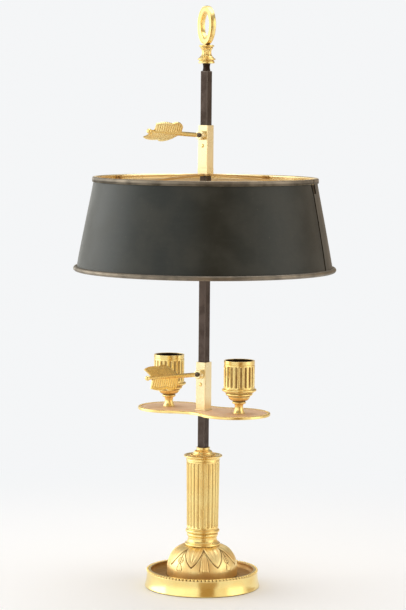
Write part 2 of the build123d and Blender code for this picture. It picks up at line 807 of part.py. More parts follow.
def make_shade_sheet(start_angle):
    """One half of the conical wall, from one seam round to the other."""
    with BuildPart() as sheet:
        with BuildSketch(half_plane(start_angle + seam_gap_angle / 2)):
            with BuildLine():
                Polyline(
                    (shade_outside(z_sheet_top) - sheet_thickness, z_sheet_top),
                    (shade_outside(z_sheet_top), z_sheet_top),
                    (shade_outside(z_bottom_roll), z_bottom_roll),
                    (shade_outside(z_bottom_roll) - sheet_thickness, z_bottom_roll),
                    close=True,
                )
            make_face()
            with Locations((roll_centre_radius, z_bottom_roll)):
                Circle(bottom_roll_radius + close_fit, mode=Mode.SUBTRACT)
        revolve(axis=Axis.Z, revolution_arc=180 - seam_gap_angle)
    return sheet.part


shade_back_sheet = make_shade_sheet(seam_angle)
shade_front_sheet = make_shade_sheet(seam_angle + 180)

# The straps lie on the inside of the wall, under the band and down to the roll
strap_outset = sheet_thickness + close_fit
strap_arc = degrees(strap_width / shade_top_radius)
with BuildPart() as seam_straps:
    for strap_side in (0, 180):
        z_strap_top = z_band_bottom - loose_fit
        with BuildSketch(half_plane(seam_angle + strap_side - strap_arc / 2)):
            with BuildLine():
                Polyline(
                    (shade_outside(z_strap_top) - strap_outset - strap_thickness, z_strap_top),
                    (shade_outside(z_strap_top) - strap_outset, z_strap_top),
                    (shade_outside(z_bottom_roll) - strap_outset, z_bottom_roll),
                    (shade_outside(z_bottom_roll) - strap_outset - strap_thickness, z_bottom_roll),
                    close=True,
                )
            make_face()
            with Locations((roll_centre_radius, z_bottom_roll)):
                Circle(bottom_roll_radius + close_fit, mode=Mode.SUBTRACT)
        revolve(axis=Axis.Z, revolution_arc=strap_arc)

# The top band is folded over the wall's edge and stays open a crack at the seam
band_gap_angle = degrees(top_band_gap / shade_top_radius)
with BuildPart() as shade_top_band:
    with BuildSketch(half_plane(seam_angle + band_gap_angle / 2)):
        with BuildLine():
            Polyline(
                (band_inside, z_band_bottom),
                (band_outside, z_band_bottom),
                (band_outside, z_band_top),
                (band_inside, z_band_top),
                close=True,
            )
        make_face()
        fillet(vertices(Select.LAST), top_band_round)
        with BuildLine():
            Polyline(
                (shade_outside(z_sheet_top) - sheet_thickness - close_fit, z_sheet_top + close_fit),
                (shade_outside(z_sheet_top) + close_fit, z_sheet_top + close_fit),
                (shade_outside(z_bottom_roll) + close_fit, z_bottom_roll),
                (shade_outside(z_bottom_roll) - sheet_thickness - close_fit, z_bottom_roll),
                close=True,
            )
        make_face(mode=Mode.SUBTRACT)
    revolve(axis=Axis.Z, revolution_arc=360 - band_gap_angle)

# The bottom edge is rolled round a wire
with BuildPart() as shade_bottom_roll:
    with BuildSketch(half_plane()):
        with Locations((roll_centre_radius, z_bottom_roll)):
            Circle(bottom_roll_radius)
    revolve(axis=Axis.Z)

# ---------------------------------------------------------------- label and write every piece
pieces = {
    "foot_dish": foot_dish.part,
    "leaf_dome": leaf_dome.part,
    "column_collar": column_collar.part,
    "fluted_column": fluted_column.part,
    "column_cap": column_cap.part,
    "rod_socket": rod_socket.part,
    "stem_rod": stem_rod.part,
    "base_washer": base_washer.part,
    "base_nut": base_nut.part,
    "finial_baluster": finial_baluster.part,
    "finial_ring": finial_ring.part,
    "candle_plate": candle_plate.part,
    "arm_slide": arm_slide.part,
    "arm_spring_leaf": arm_spring_leaf,
    "arm_spring_rivet": arm_spring_rivet,
    "left_nozzle": left_nozzle,
    "right_nozzle": right_nozzle,
    "nozzle_nuts": nozzle_nuts.part,
    "arm_key_screw": arm_key_screw,
    "arm_key_arrow": arm_key_arrow,
    "shade_slide": shade_slide,
    "shade_spider": shade_spider.part,
    "shade_spring_leaf": shade_spring_leaf,
    "shade_spring_rivet": shade_spring_rivet,
    "shade_front_sheet": shade_front_sheet,
    "shade_back_sheet": shade_back_sheet,
    "seam_straps": seam_straps.part,
    "shade_top_band": shade_top_band.part,
    "shade_bottom_roll": shade_bottom_roll.part,
    "shade_key_screw": shade_key_screw,
    "shade_key_arrow": shade_key_arrow,
}
for name, piece in pieces.items():
    piece.label = name
    export_step(piece, f"parts/{name}.step")
    size = piece.bounding_box().size
    print(f"{name:20s} {size.X:7.1f} x {size.Y:7.1f} x {size.Z:7.1f} mm  {piece.volume / 1000:8.2f} cm3")
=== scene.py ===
# %% [markdown]
# # Finishing a two-light candle lamp
# The lamp stands on a round gilt bronze foot. A square steel rod rises out of its fluted column, and
# a candle arm and a tin shade slide on that rod, each held by a screw with an arrow for a handle.
# Its construction arrives as a frame: plain solids at their true size, each at its true place. Every
# step below takes one piece or one finish, says what it is on the real lamp, and gives it the shape
# and the surface of the real one. Sizes in the outlines are millimetres, and MM turns them to metres.

# %% Load the frame
import math

import bmesh
import bpy
from mathutils import Matrix, Vector, noise


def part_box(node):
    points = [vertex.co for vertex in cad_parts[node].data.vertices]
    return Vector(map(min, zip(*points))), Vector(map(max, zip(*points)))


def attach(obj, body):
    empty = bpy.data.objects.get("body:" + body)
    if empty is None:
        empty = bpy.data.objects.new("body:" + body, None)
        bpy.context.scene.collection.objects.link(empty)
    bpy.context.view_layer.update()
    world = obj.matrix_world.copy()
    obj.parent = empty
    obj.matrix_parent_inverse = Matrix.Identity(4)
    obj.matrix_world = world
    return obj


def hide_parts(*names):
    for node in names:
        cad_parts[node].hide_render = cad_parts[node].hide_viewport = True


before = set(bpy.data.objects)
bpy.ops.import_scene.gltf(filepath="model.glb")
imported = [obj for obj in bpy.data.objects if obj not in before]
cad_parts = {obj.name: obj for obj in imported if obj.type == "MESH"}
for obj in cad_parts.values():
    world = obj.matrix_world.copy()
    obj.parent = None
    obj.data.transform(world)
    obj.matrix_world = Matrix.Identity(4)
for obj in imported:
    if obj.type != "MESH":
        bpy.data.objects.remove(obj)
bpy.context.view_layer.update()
MM = 0.001

# %% [markdown]
# ## The camera
# The lamp is seen from its front, turned so that the arrow keys point past the left of the camera.
# A long lens from more than two metres away keeps the upright lines nearly parallel. The camera
# stands a little higher than the shade and looks slightly down, so it shows the top of the foot and
# of the candle plate, and both rims of the shade. It also leans by half a degree, as a tripod may.

# %% Place the camera
VIEW_TURN = math.radians(35.0)
CAMERA_DISTANCE = 2276.0
CAMERA_HEIGHT = 501.4
AIM_HEIGHT = 293.9
AIM_OFFSET = -1.45
CAMERA_ROLL = math.radians(0.5)
LENS = 130.78

to_camera = Vector((math.sin(VIEW_TURN), -math.cos(VIEW_TURN), 0))
to_right = Vector((math.cos(VIEW_TURN), math.sin(VIEW_TURN), 0))
UP = Vector((0, 0, 1))

lens = bpy.data.cameras.new("studio_camera")
lens.lens = LENS


def placed(name, data):
    """A new object that is part of the scene."""
    made = bpy.data.objects.new(name, data)
    bpy.context.collection.objects.link(made)
    return made


def facing(place, target):
    """Matrix that stands something at a place, in metres, and points it at a target."""
    turn = (target - place).to_track_quat("-Z", "Y").to_matrix().to_4x4()
    return Matrix.Translation(place) @ turn


camera = placed("studio_camera", lens)
camera_place = (to_camera * CAMERA_DISTANCE + UP * CAMERA_HEIGHT) * MM
camera_aim = (to_right * AIM_OFFSET + UP * AIM_HEIGHT) * MM
camera.matrix_world = facing(camera_place, camera_aim) @ Matrix.Rotation(CAMERA_ROLL, 4, "Z")
bpy.context.scene.camera = camera
print("camera stands at", [round(value, 3) for value in camera_place], "metres")

# %% [markdown]
# ## Soft light
# Gilding has little colour of its own: it shows what stands round it. So the lamp stands in a tent of
# pale cloth: bright to the left, a little weaker and warmer to the right, and dim and brown at the far
# right. Behind the lamp the cloth is dark, which draws the edges of every round piece. Where the
# camera looks in, the cloth stands open, and a dim warm room shows through the opening. Higher up
# the cloth is unlit, and only the ceiling is bright again. Two large panels light the lamp from both
# sides, and one hangs above. The camera itself sees the room as a pale plain.

# %% Pitch the tent
def wire(tree, kind, feeds=None, **options):
    """Adds a node, sets its options, and fills its inputs: a socket is linked, anything else is a value."""
    made = tree.nodes.new(kind)
    for option, value in options.items():
        setattr(made, option, value)
    for where, value in (feeds or {}).items():
        if isinstance(value, bpy.types.NodeSocket):
            tree.links.new(value, made.inputs[where])
        else:
            made.inputs[where].default_value = value
    return made


def sum_up(tree, operation, first, second=0.0, third=0.0):
    """One step of arithmetic; gives the socket with its result."""
    return wire(tree, "ShaderNodeMath", {0: first, 1: second, 2: third}, operation=operation).outputs[0]


def ramp(tree, value, start, end, low=0.0, high=1.0):
    """Runs smoothly from low to high while the value goes from start to end, and stays there."""
    return wire(tree, "ShaderNodeMapRange", {"Value": value, "From Min": start, "From Max": end,
                "To Min": low, "To Max": high}, interpolation_type="SMOOTHSTEP").outputs["Result"]


def blend(tree, mask, under, over):
    """Lays one colour over another through a mask."""
    return wire(tree, "ShaderNodeMix", {0: mask, 6: under, 7: over}, data_type="RGBA").outputs[2]


def unit(tree, arrow):
    """A direction, one long."""
    return wire(tree, "ShaderNodeVectorMath", {0: arrow}, operation="NORMALIZE").outputs[0]


def towards(tree, arrow, aim):
    """How far a direction, one long, points to an aim: 1 straight at it, 0 across, -1 away from it."""
    return wire(tree, "ShaderNodeVectorMath", {0: arrow, 1: aim}, operation="DOT_PRODUCT").outputs["Value"]


CLOTH_LEFT, CLOTH_RIGHT, FAR_RIGHT = (1.40, 1.40, 1.32, 1), (0.98, 0.90, 0.76, 1), (0.62, 0.49, 0.36, 1)
UNLIT_CLOTH, CEILING_TONE = (0.42, 0.40, 0.37, 1), (1.00, 1.00, 1.00, 1)
DARK_BEHIND, CAMERA_GAP = (0.18, 0.16, 0.14, 1), (0.44, 0.28, 0.12, 1)
BACKDROP_TONE = (0.91, 0.92, 0.93, 1)
# Each pair says where one tone ends and where the next is full.
LEFT_TO_RIGHT, TO_FAR_RIGHT, TO_BEHIND = (-0.35, 0.35), (-0.15, -0.30), (-0.80, -0.95)
DARK_STARTS, LIGHT_ENDS, CEILING_STARTS = (0.08, 0.30), (0.32, 0.50), (0.74, 0.90)
GAP_TURN, GAP_SIDES = math.radians(10), (0.952, 0.972)

room = bpy.data.worlds.new("tent")
room.use_nodes = True
bpy.context.scene.world = room
cloth = room.node_tree
gaze = wire(cloth, "ShaderNodeTexCoord").outputs["Generated"]
flat_gaze = wire(cloth, "ShaderNodeVectorMath", {0: gaze, 1: (1, 1, 0)}, operation="MULTIPLY").outputs[0]
flat_gaze = unit(cloth, flat_gaze)
ahead, sideways = towards(cloth, flat_gaze, to_camera), towards(cloth, flat_gaze, to_right)
height_up = wire(cloth, "ShaderNodeSeparateXYZ", {0: gaze}).outputs["Z"]
on_right = ramp(cloth, sideways, *LEFT_TO_RIGHT)
tone = blend(cloth, on_right, CLOTH_LEFT, CLOTH_RIGHT)
shaded_right = sum_up(cloth, "MULTIPLY", on_right, ramp(cloth, ahead, *TO_FAR_RIGHT))
tone = blend(cloth, shaded_right, tone, FAR_RIGHT)
dark_wall = sum_up(cloth, "MULTIPLY", ramp(cloth, ahead, *TO_BEHIND), ramp(cloth, height_up, *DARK_STARTS))
tone = blend(cloth, dark_wall, tone, DARK_BEHIND)
tone = blend(cloth, ramp(cloth, height_up, *LIGHT_ENDS), tone, UNLIT_CLOTH)
gap_middle = Matrix.Rotation(GAP_TURN, 3, "Z") @ to_camera
tone = blend(cloth, ramp(cloth, towards(cloth, flat_gaze, gap_middle), *GAP_SIDES), tone, CAMERA_GAP)
tone = blend(cloth, ramp(cloth, height_up, *CEILING_STARTS), tone, CEILING_TONE)
seen_by_camera = wire(cloth, "ShaderNodeLightPath").outputs["Is Camera Ray"]
seen = blend(cloth, seen_by_camera, tone, BACKDROP_TONE)
cloth.links.new(seen, cloth.nodes["Background"].inputs["Color"])
bpy.context.scene.view_settings.view_transform = "Standard"
print("tent:", len(cloth.nodes), "nodes")

# %% Hang the panels
LAMP_MIDDLE = Vector((0, 0, 300)) * MM


def panel(name, turn, distance, height, width, depth, watts, colour):
    """A rectangular lamp at a turn from the camera's direction, aimed at the middle of the lamp."""
    light = bpy.data.lights.new(name, "AREA")
    light.shape = "RECTANGLE"
    light.size, light.size_y, light.energy, light.color = width * MM, depth * MM, watts, colour
    side = Matrix.Rotation(math.radians(turn), 3, "Z") @ to_camera
    placed(name, light).matrix_world = facing((side * distance + UP * height) * MM, LAMP_MIDDLE)


panel("panel_left", -100, 1500, 750, 1400, 1900, 12, (1.0, 0.985, 0.95))
panel("panel_right", 72, 1700, 700, 1200, 1900, 6, (1.0, 0.95, 0.88))
panel("panel_above", 150, 500, 1800, 1300, 1300, 9, (1.0, 1.0, 1.0))
print("lights:", [light.name for light in bpy.data.lights])

# %% [markdown]
# ## Shared effects for the finishes
# An old metal surface is never even. Three effects come back in almost every finish here, so each is
# a node group that is built once. *Handling marks* gives slow patches, and a height for the bump that
# has a fine grain on it. *Shade and soil* darkens where the corners are tight, as painted shade, and
# in everything that was carved or chased, as old wax with painted shade. *Rubbed edges* does the
# opposite, where fingers and cloths polish what stands proud. The groups only give masks and heights:
# the shader stays in each material, with its own values.

# %% Build the groups
def new_group(name, inputs, outputs):
    """An empty shader group with float or vector inputs and float outputs."""
    group = bpy.data.node_groups.new(name, "ShaderNodeTree")
    for label, start in inputs.items():
        kind = "NodeSocketVector" if start is None else "NodeSocketFloat"
        socket = group.interface.new_socket(label, in_out="INPUT", socket_type=kind)
        if start is not None:
            socket.default_value = start
    for label in outputs:
        group.interface.new_socket(label, in_out="OUTPUT", socket_type="NodeSocketFloat")
    return group, group.nodes.new("NodeGroupInput").outputs, group.nodes.new("NodeGroupOutput").inputs


def speckle(tree, place, scale, detail=4.0, roughness=0.55):
    """Fractal noise in the range 0 to 1, for patches of that many per metre."""
    return wire(tree, "ShaderNodeTexNoise", {"Vector": place, "Scale": scale, "Detail": detail,
                "Roughness": roughness}).outputs["Fac"]


def scaled_mask(group, strength, share, given, gives):
    """Ends a group: its mask is a strength, of which the patches rule a share, times the amount."""
    uneven = sum_up(group, "MULTIPLY_ADD", given["Patches"], share, 1 - share)
    mask = sum_up(group, "MULTIPLY", sum_up(group, "MULTIPLY", strength, uneven), given["Amount"])
    group.links.new(mask, gives["Mask"])


# Each pair says where a mask starts and where it is full.
PATCH_RANGE, CORNER_SHADE_SPAN, HOLLOW_SHADE_RANGE, EDGE_RANGE = (0.35, 0.68), (0.80, 0.25), (0.15, 0.9), (0.92, 0.55)
GRAIN_SHARE = 0.35

marks_group, given, gives = new_group(
    "handling_marks", {"Place": None, "Patch Scale": 40.0, "Grain Scale": 900.0}, ("Patches", "Height"))
slow = speckle(marks_group, given["Place"], given["Patch Scale"])
fine = speckle(marks_group, given["Place"], given["Grain Scale"], 2.0)
marks_group.links.new(ramp(marks_group, slow, *PATCH_RANGE), gives["Patches"])
marks_group.links.new(sum_up(marks_group, "MULTIPLY_ADD", fine, GRAIN_SHARE, slow), gives["Height"])

# The shade and soil mask: Ambient Occlusion in tight corners is painted shade, and the wax_and_shade value
# adds old wax and painted shade in hollows.
shade_and_soil_group, given, gives = new_group(
    "shade_and_soil", {"Corners": 1.0, "Hollow Soil And Shade": 0.0, "Patches": 0.5, "Amount": 1.0}, ("Mask",))
tight = ramp(shade_and_soil_group, given["Corners"], *CORNER_SHADE_SPAN)
filled = sum_up(shade_and_soil_group, "MAXIMUM", tight, ramp(shade_and_soil_group, given["Hollow Soil And Shade"], *HOLLOW_SHADE_RANGE))
scaled_mask(shade_and_soil_group, filled, 0.35, given, gives)

rubbed_group, given, gives = new_group(
    "rubbed_edges", {"Edges": 1.0, "Patches": 0.5, "Amount": 1.0}, ("Mask",))
proud = ramp(rubbed_group, given["Edges"], *EDGE_RANGE)
scaled_mask(rubbed_group, proud, 0.6, given, gives)
print("groups:", [group.name for group in bpy.data.node_groups])

# %% [markdown]
# ## Metal finishes
# Mercury gilding is soft and warm: bright where it is burnished, matt and slightly pink where it was
# left rough, brown where old wax and dust sit. All the metals here are one recipe with other values:
# a tone, a deep tone for soil and painted shade, and a rubbed tone for edges. The wax_and_shade
# attribute comes with each piece's shape, and Ambient Occlusion finds the corners between mouldings,
# which it darkens as painted shade.

# %% Mix the metals
CORNER_SHADE_REACH, EDGE_REACH = 2.5 * MM, 1.2 * MM
PATCH_STRENGTH, PATCH_DULLING = 0.55, 0.12
SHADE_AND_SOIL_DULLING, SHADE_AND_SOIL_COVER = 0.30, 0.9
METAL_SPECULAR = 0.12


def openness(tree, reach, inside=False):
    """How open the surface is within a reach: low in corners, or with inside low on thin edges."""
    seen_from = wire(tree, "ShaderNodeAmbientOcclusion", {"Distance": reach}, inside=inside, samples=8)
    return seen_from.outputs["AO"]


def worn_ground(material, patch_scale, grain_scale, shade_and_soil_amount, wear):
    """Sets up the shared effects in a material; gives its tree and their masks."""
    material.use_nodes = True
    tree = material.node_tree
    place = wire(tree, "ShaderNodeTexCoord").outputs["Object"]
    wax_and_shade = wire(tree, "ShaderNodeAttribute", attribute_name="wax_and_shade").outputs["Fac"]
    marks = wire(tree, "ShaderNodeGroup", {
        "Place": place, "Patch Scale": patch_scale,
        "Grain Scale": grain_scale}, node_tree=marks_group).outputs
    shade_and_soil = wire(tree, "ShaderNodeGroup", {
        "Corners": openness(tree, CORNER_SHADE_REACH), "Hollow Soil And Shade": wax_and_shade, "Patches": marks["Patches"],
        "Amount": shade_and_soil_amount}, node_tree=shade_and_soil_group).outputs
    rubbed = wire(tree, "ShaderNodeGroup", {
        "Edges": openness(tree, EDGE_REACH, True), "Patches": marks["Patches"],
        "Amount": wear}, node_tree=rubbed_group).outputs
    return tree, marks, shade_and_soil["Mask"], rubbed["Mask"]


def finish_surface(tree, colour, roughness, height, depth):
    """Feeds colour, roughness and bump into the material's shader."""
    shader = tree.nodes["Principled BSDF"]
    bump = wire(tree, "ShaderNodeBump", {"Height": height, "Distance": depth * MM, "Strength": 1.0})
    tree.links.new(bump.outputs["Normal"], shader.inputs["Normal"])
    tree.links.new(colour, shader.inputs["Base Color"])
    tree.links.new(roughness, shader.inputs["Roughness"])
    return shader


def metal(name, tone, deep, rubbed_tone, gloss, patch_scale=45.0, grain_scale=1400.0, shade_and_soil_amount=0.9, wear=0.7,
          patch_tone=None, relief=0.03):
    """A worn metal: its tone in patches, deep tone as soil and painted shade in corners and hollows, rubbed
    tone on edges.
    """
    material = bpy.data.materials.new(name)
    tree, marks, shade_and_soil, rubbed = worn_ground(material, patch_scale, grain_scale, shade_and_soil_amount, wear)
    in_patches = sum_up(tree, "MULTIPLY", marks["Patches"], PATCH_STRENGTH)
    patchy = blend(tree, in_patches, (*tone, 1), (*(patch_tone or tone), 1))
    colour = blend(tree, shade_and_soil, blend(tree, rubbed, patchy, (*rubbed_tone, 1)), (*deep, 1))
    smooth_part = sum_up(tree, "MULTIPLY_ADD", marks["Patches"], PATCH_DULLING, gloss)
    dulled = sum_up(tree, "MULTIPLY_ADD", shade_and_soil, SHADE_AND_SOIL_DULLING, smooth_part)
    shader = finish_surface(tree, colour, dulled, marks["Height"], relief)
    tree.links.new(sum_up(tree, "MULTIPLY_ADD", shade_and_soil, -SHADE_AND_SOIL_COVER, 1.0), shader.inputs["Metallic"])
    shader.inputs["Specular IOR Level"].default_value = METAL_SPECULAR
    return material


gilding = metal(
    "burnished_gilding", (0.97, 0.77, 0.32), (0.15, 0.048, 0.006), (1.0, 0.82, 0.44), 0.20,
    patch_tone=(0.93, 0.61, 0.19), wear=0.35, relief=0.005)
polished_gilding = metal(
    "polished_gilding", (0.97, 0.80, 0.34), (0.12, 0.048, 0.010), (1.0, 0.84, 0.46), 0.12,
    patch_tone=(0.94, 0.68, 0.24), wear=0.5, relief=0.004)
chased_gilding = metal(
    "chased_gilding", (1.0, 0.80, 0.37), (0.11, 0.045, 0.010), (1.0, 0.86, 0.50), 0.34,
    patch_scale=70.0, grain_scale=1000.0, patch_tone=(0.84, 0.50, 0.18), shade_and_soil_amount=1.0, relief=0.05)
# Brown gilding: old gilding gone brown, also used as painted shade in the foot's dish and on the spider's
# arms.
aged_and_shaded_gilding = metal(
    "aged_and_shaded_gilding", (0.52, 0.32, 0.12), (0.08, 0.04, 0.015), (0.90, 0.66, 0.30), 0.42,
    patch_tone=(0.30, 0.16, 0.05), shade_and_soil_amount=1.0, relief=0.02)
pale_gilding = metal(
    "pale_gilding", (0.98, 0.83, 0.48), (0.16, 0.075, 0.022), (1.0, 0.90, 0.62), 0.22,
    patch_tone=(0.96, 0.73, 0.38), shade_and_soil_amount=0.6, wear=0.5, relief=0.008)
plate_gilding = metal(
    "matt_gilding", (1.0, 0.78, 0.58), (0.34, 0.18, 0.09), (1.0, 0.86, 0.60), 0.58,
    patch_scale=90.0, grain_scale=1800.0, patch_tone=(0.84, 0.58, 0.41), shade_and_soil_amount=0.7, relief=0.02)
# Near black: candle soot in the nozzle bores with painted shade deep in them, and painted shade on the outer
# faces of the seam straps.
soot_and_shade = metal(
    "soot_and_shade", (0.030, 0.020, 0.012), (0.01, 0.006, 0.003), (0.10, 0.07, 0.04), 0.55, relief=0.05)
rod_steel = metal(
    "dark_steel", (0.090, 0.068, 0.058), (0.02, 0.008, 0.004), (0.34, 0.30, 0.27), 0.40,
    patch_scale=110.0, patch_tone=(0.040, 0.028, 0.022), relief=0.05)
screw_steel = metal(
    "oiled_steel", (0.15, 0.12, 0.10), (0.012, 0.009, 0.007), (0.42, 0.36, 0.30), 0.34, shade_and_soil_amount=1.0)
print("metals:", [material.name for material in bpy.data.materials])

# %% [markdown]
# ## Painted tin
# The shade is tin, painted a green so dark that it looks black, and gone satin with age. The paint
# has faint speckles and a slow brushing round the wall. Its inside was left pale gold so that it
# throws the candle light down. One material does both: the *lining* value on the sheet says which
# side a face is on. The rolled edges were gilt too, and are worn to a dull brown between the gold.

# %% Mix the paint and the worn edge gilding
DUST, SHADE_AND_SOIL_TONE, BARE_TIN = (0.10, 0.09, 0.06, 1), (0.006, 0.005, 0.004, 1), (0.12, 0.10, 0.075, 1)
PAINT_SPECULAR, PAINT_SHEEN = 0.38, (0.91, 0.98, 1.0, 1)
BRUSH_SQUEEZE = (1.0, 1.0, 7.0)


def tole_paint(name, paint, faded, lining, gloss):
    """Old satin paint outside and pale gold inside, chosen by the lining value of the sheet."""
    material = bpy.data.materials.new(name)
    tree, marks, shade_and_soil, rubbed = worn_ground(material, 26.0, 1500.0, 0.5, 0.15)
    place = wire(tree, "ShaderNodeTexCoord").outputs["Object"]
    squeezed = wire(tree, "ShaderNodeMapping", {"Vector": place, "Scale": BRUSH_SQUEEZE}).outputs[0]
    brushed = speckle(tree, squeezed, 38.0, 5.0, 0.6)
    specks = ramp(tree, speckle(tree, place, 420.0, 2.0, 0.5), 0.70, 0.78)
    aged = blend(tree, sum_up(tree, "MULTIPLY", marks["Patches"], 0.7), (*paint, 1), (*faded, 1))
    streaked = blend(tree, ramp(tree, brushed, 0.45, 0.8, 0.0, 0.35), aged, (*faded, 1))
    dusty = blend(tree, sum_up(tree, "MULTIPLY", specks, 0.30), streaked, DUST)
    side = wire(tree, "ShaderNodeAttribute", attribute_name="lining").outputs["Fac"]
    # Near black under the shade and soil mask: soil, and painted shade in corners and along the cut ends of
    # the sheets.
    bare = blend(tree, shade_and_soil, blend(tree, side, dusty, (*lining, 1)), SHADE_AND_SOIL_TONE)
    colour = blend(tree, rubbed, bare, BARE_TIN)
    rough = sum_up(tree, "MULTIPLY_ADD", marks["Patches"], 0.10, gloss)
    shader = finish_surface(tree, colour, rough, marks["Height"], 0.02)
    shader.inputs["Specular Tint"].default_value = PAINT_SHEEN
    shader.inputs["Specular IOR Level"].default_value = PAINT_SPECULAR
    return material


shade_paint = tole_paint(
    "old_tole_paint", (0.0100, 0.0120, 0.0100), (0.021, 0.024, 0.021), (0.80, 0.62, 0.36), 0.36)
edge_gilding = metal(
    "worn_edge_gilding", (0.27, 0.23, 0.18), (0.022, 0.016, 0.010), (0.68, 0.59, 0.42), 0.40,
    patch_scale=60.0, patch_tone=(0.11, 0.10, 0.085), wear=0.9)
print("paint and edge:", shade_paint.name, edge_gilding.name)

# %% [markdown]
# ## Outlines and skins
# Nearly every piece of this lamp came off a lathe, so the main tool here is an outline: a list of
# (radius, height) corners that runs up the outside and back down the inside. *bow* draws a round
# stretch between two corners, and *eased* takes the knife edge off each sharp corner, because no
# real edge is sharp and it is the eased edge that catches the light. *skin* then stretches a closed
# mesh over a row of such rings. A wax_and_shade value can ride along on every point, for the old wax
# and painted shade of the finish.

# %% Draw outlines and stretch skins
SPIN_STEPS = 160
EASE = 0.22
CREASE = 38


def reach(node):
    """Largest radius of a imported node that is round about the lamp's axis, in millimetres."""
    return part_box(node)[1][0] / MM


def level(node, top=True):
    """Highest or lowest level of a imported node, in millimetres."""
    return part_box(node)[1 if top else 0][2] / MM


def bow(start, end, swell, parts=8):
    """Points of a round stretch after its start; it swells to the right of the way it runs."""
    chord = math.dist(start, end)
    opening = -4 * math.atan(2 * swell / chord)
    step = chord / math.sin(opening / 2) * math.sin(opening / (2 * parts))
    heading = math.atan2(end[1] - start[1], end[0] - start[0])
    points, (across, up) = [], start
    for part in range(parts):
        way = heading + opening * (0.5 - (part + 0.5) / parts)
        across, up = across + step * math.cos(way), up + step * math.sin(way)
        points.append((across, up))
    return points


def eased(outline, ease=EASE, least_turn=math.radians(20), parts=3):
    """Rounds the sharp corners of a closed outline, and leaves those that lie on the axis."""
    rounded = []
    for before, corner, after in zip(outline[-1:] + outline[:-1], outline, outline[1:] + outline[:1]):
        here, back, on = Vector(corner), Vector(before), Vector(after)
        to_back, to_on = back - here, on - here
        if min(to_back.length, to_on.length) < 1e-6:
            continue
        turn = math.pi - to_back.angle(to_on)
        if corner[0] < 1e-6 or turn < least_turn:
            rounded.append(tuple(corner))
            continue
        cut = min(ease, 0.45 * to_back.length, 0.45 * to_on.length)
        first, last = here + to_back.normalized() * cut, here + to_on.normalized() * cut
        for part in range(parts + 1):
            share = part / parts
            point = first * (1 - share) ** 2 + here * 2 * share * (1 - share) + last * share ** 2
            rounded.append(tuple(point))
    return rounded


def skin(name, rings, wrapped=True):
    """A closed mesh over rings of points (x, y, z, wax_and_shade); a row that doesn't wrap gets end caps."""
    mesh = bmesh.new()
    wax_and_shade = mesh.verts.layers.float.new("wax_and_shade")
    rows = []
    for ring in rings:
        row = []
        for x, y, z, deep in ring:
            point = mesh.verts.new((x * MM, y * MM, z * MM))
            point[wax_and_shade] = deep
            row.append(point)
        rows.append(row)
    for here, beyond in zip(rows, rows[1:] + (rows[:1] if wrapped else [])):
        for low, high, far_high, far_low in zip(here, here[1:] + here[:1], beyond[1:] + beyond[:1], beyond):
            mesh.faces.new((low, high, far_high, far_low))
    if not wrapped:
        mesh.faces.new(rows[0])
        mesh.faces.new(rows[-1])
    bmesh.ops.remove_doubles(mesh, verts=mesh.verts, dist=1e-3 * MM)
    bmesh.ops.recalc_face_normals(mesh, faces=mesh.faces)
    data = bpy.data.meshes.new(name)
    mesh.to_mesh(data)
    mesh.free()
    return placed(name, data)


def kept(piece):
    """Makes what the modifiers of a piece show into its own plain mesh."""
    bpy.context.view_layer.update()
    result = bpy.data.meshes.new_from_object(piece.evaluated_get(bpy.context.evaluated_depsgraph_get()))
    result.name = piece.name
    piece.modifiers.clear()
    piece.data = result
    return piece


def smooth(piece, material, crease=CREASE):
    """Shades a piece softly but for its creases, keeps flat faces flat, and gives it its finish."""
    piece.data.shade_smooth()
    piece.data.set_sharp_from_angle(angle=math.radians(crease))
    if not piece.data.materials:
        piece.data.materials.append(material)
    evened = piece.modifiers.new("flat_faces_stay_flat", "WEIGHTED_NORMAL")
    evened.keep_sharp, evened.weight = True, 100
    return kept(piece)


print("a bow of five parts:", [tuple(round(value, 2) for value in point)
                               for point in bow((0, 0), (0, 10), 2, 5)])


# %% Turn a blank, and settle what is done
def around(radius, degrees):
    """The X and Y of a point at a radius and a turn about the upright axis."""
    return radius * math.cos(math.radians(degrees)), radius * math.sin(math.radians(degrees))


def turned(name, outline, material, steps=SPIN_STEPS, relief=None, start=0.0, sweep=360.0, centre=0.0):
    """Turns an outline round an upright axis. A relief gives each point a height off it and a wax_and_shade
    value.
    """
    full = sweep >= 360.0
    normals = []
    for before, after in zip(outline[-1:] + outline[:-1], outline[1:] + outline[:1]):
        along = Vector(after) - Vector(before)
        normals.append(Vector((along.y, -along.x)).normalized())
    rings = []
    for step in range(steps if full else steps + 1):
        angle = start + sweep * step / steps
        ring = []
        for (radius, height), normal in zip(outline, normals):
            raised, deep = relief(angle, radius, height) if relief else (0.0, 0.0)
            x, y = around(radius + normal.x * raised, angle)
            ring.append((centre + x, y, height + normal.y * raised, deep))
        rings.append(ring)
    return smooth(skin(name, rings, full), material)


def in_mm(point):
    """The coordinates of a point in millimetres."""
    return [value / MM for value in point]


def second_finish(piece, material, chosen):
    """Gives the chosen faces of a piece another finish; chosen gets a face's middle and its normal."""
    piece.data.materials.append(material)
    for face in piece.data.polygons:
        face.material_index = int(chosen(*in_mm(face.center), face.normal))


def settle(piece, body, slot, *nodes):
    """Gives a piece its body and hides the plain solids that it stands for. The slot is not used."""
    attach(piece, body)
    if nodes:
        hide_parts(*nodes)
    print(f"{piece.name}: {len(piece.data.polygons)} faces on {body}")
    return piece


def joined(piece, *others):
    """Joins more shells to a piece, as parts of the same casting."""
    shells = [piece, *others]
    with bpy.context.temp_override(active_object=piece, object=piece, selected_objects=shells,
                                   selected_editable_objects=shells):
        bpy.ops.object.join()
    return piece


print("a point at radius 10, a third of the way round:", [round(value, 2) for value in around(10, 120)])

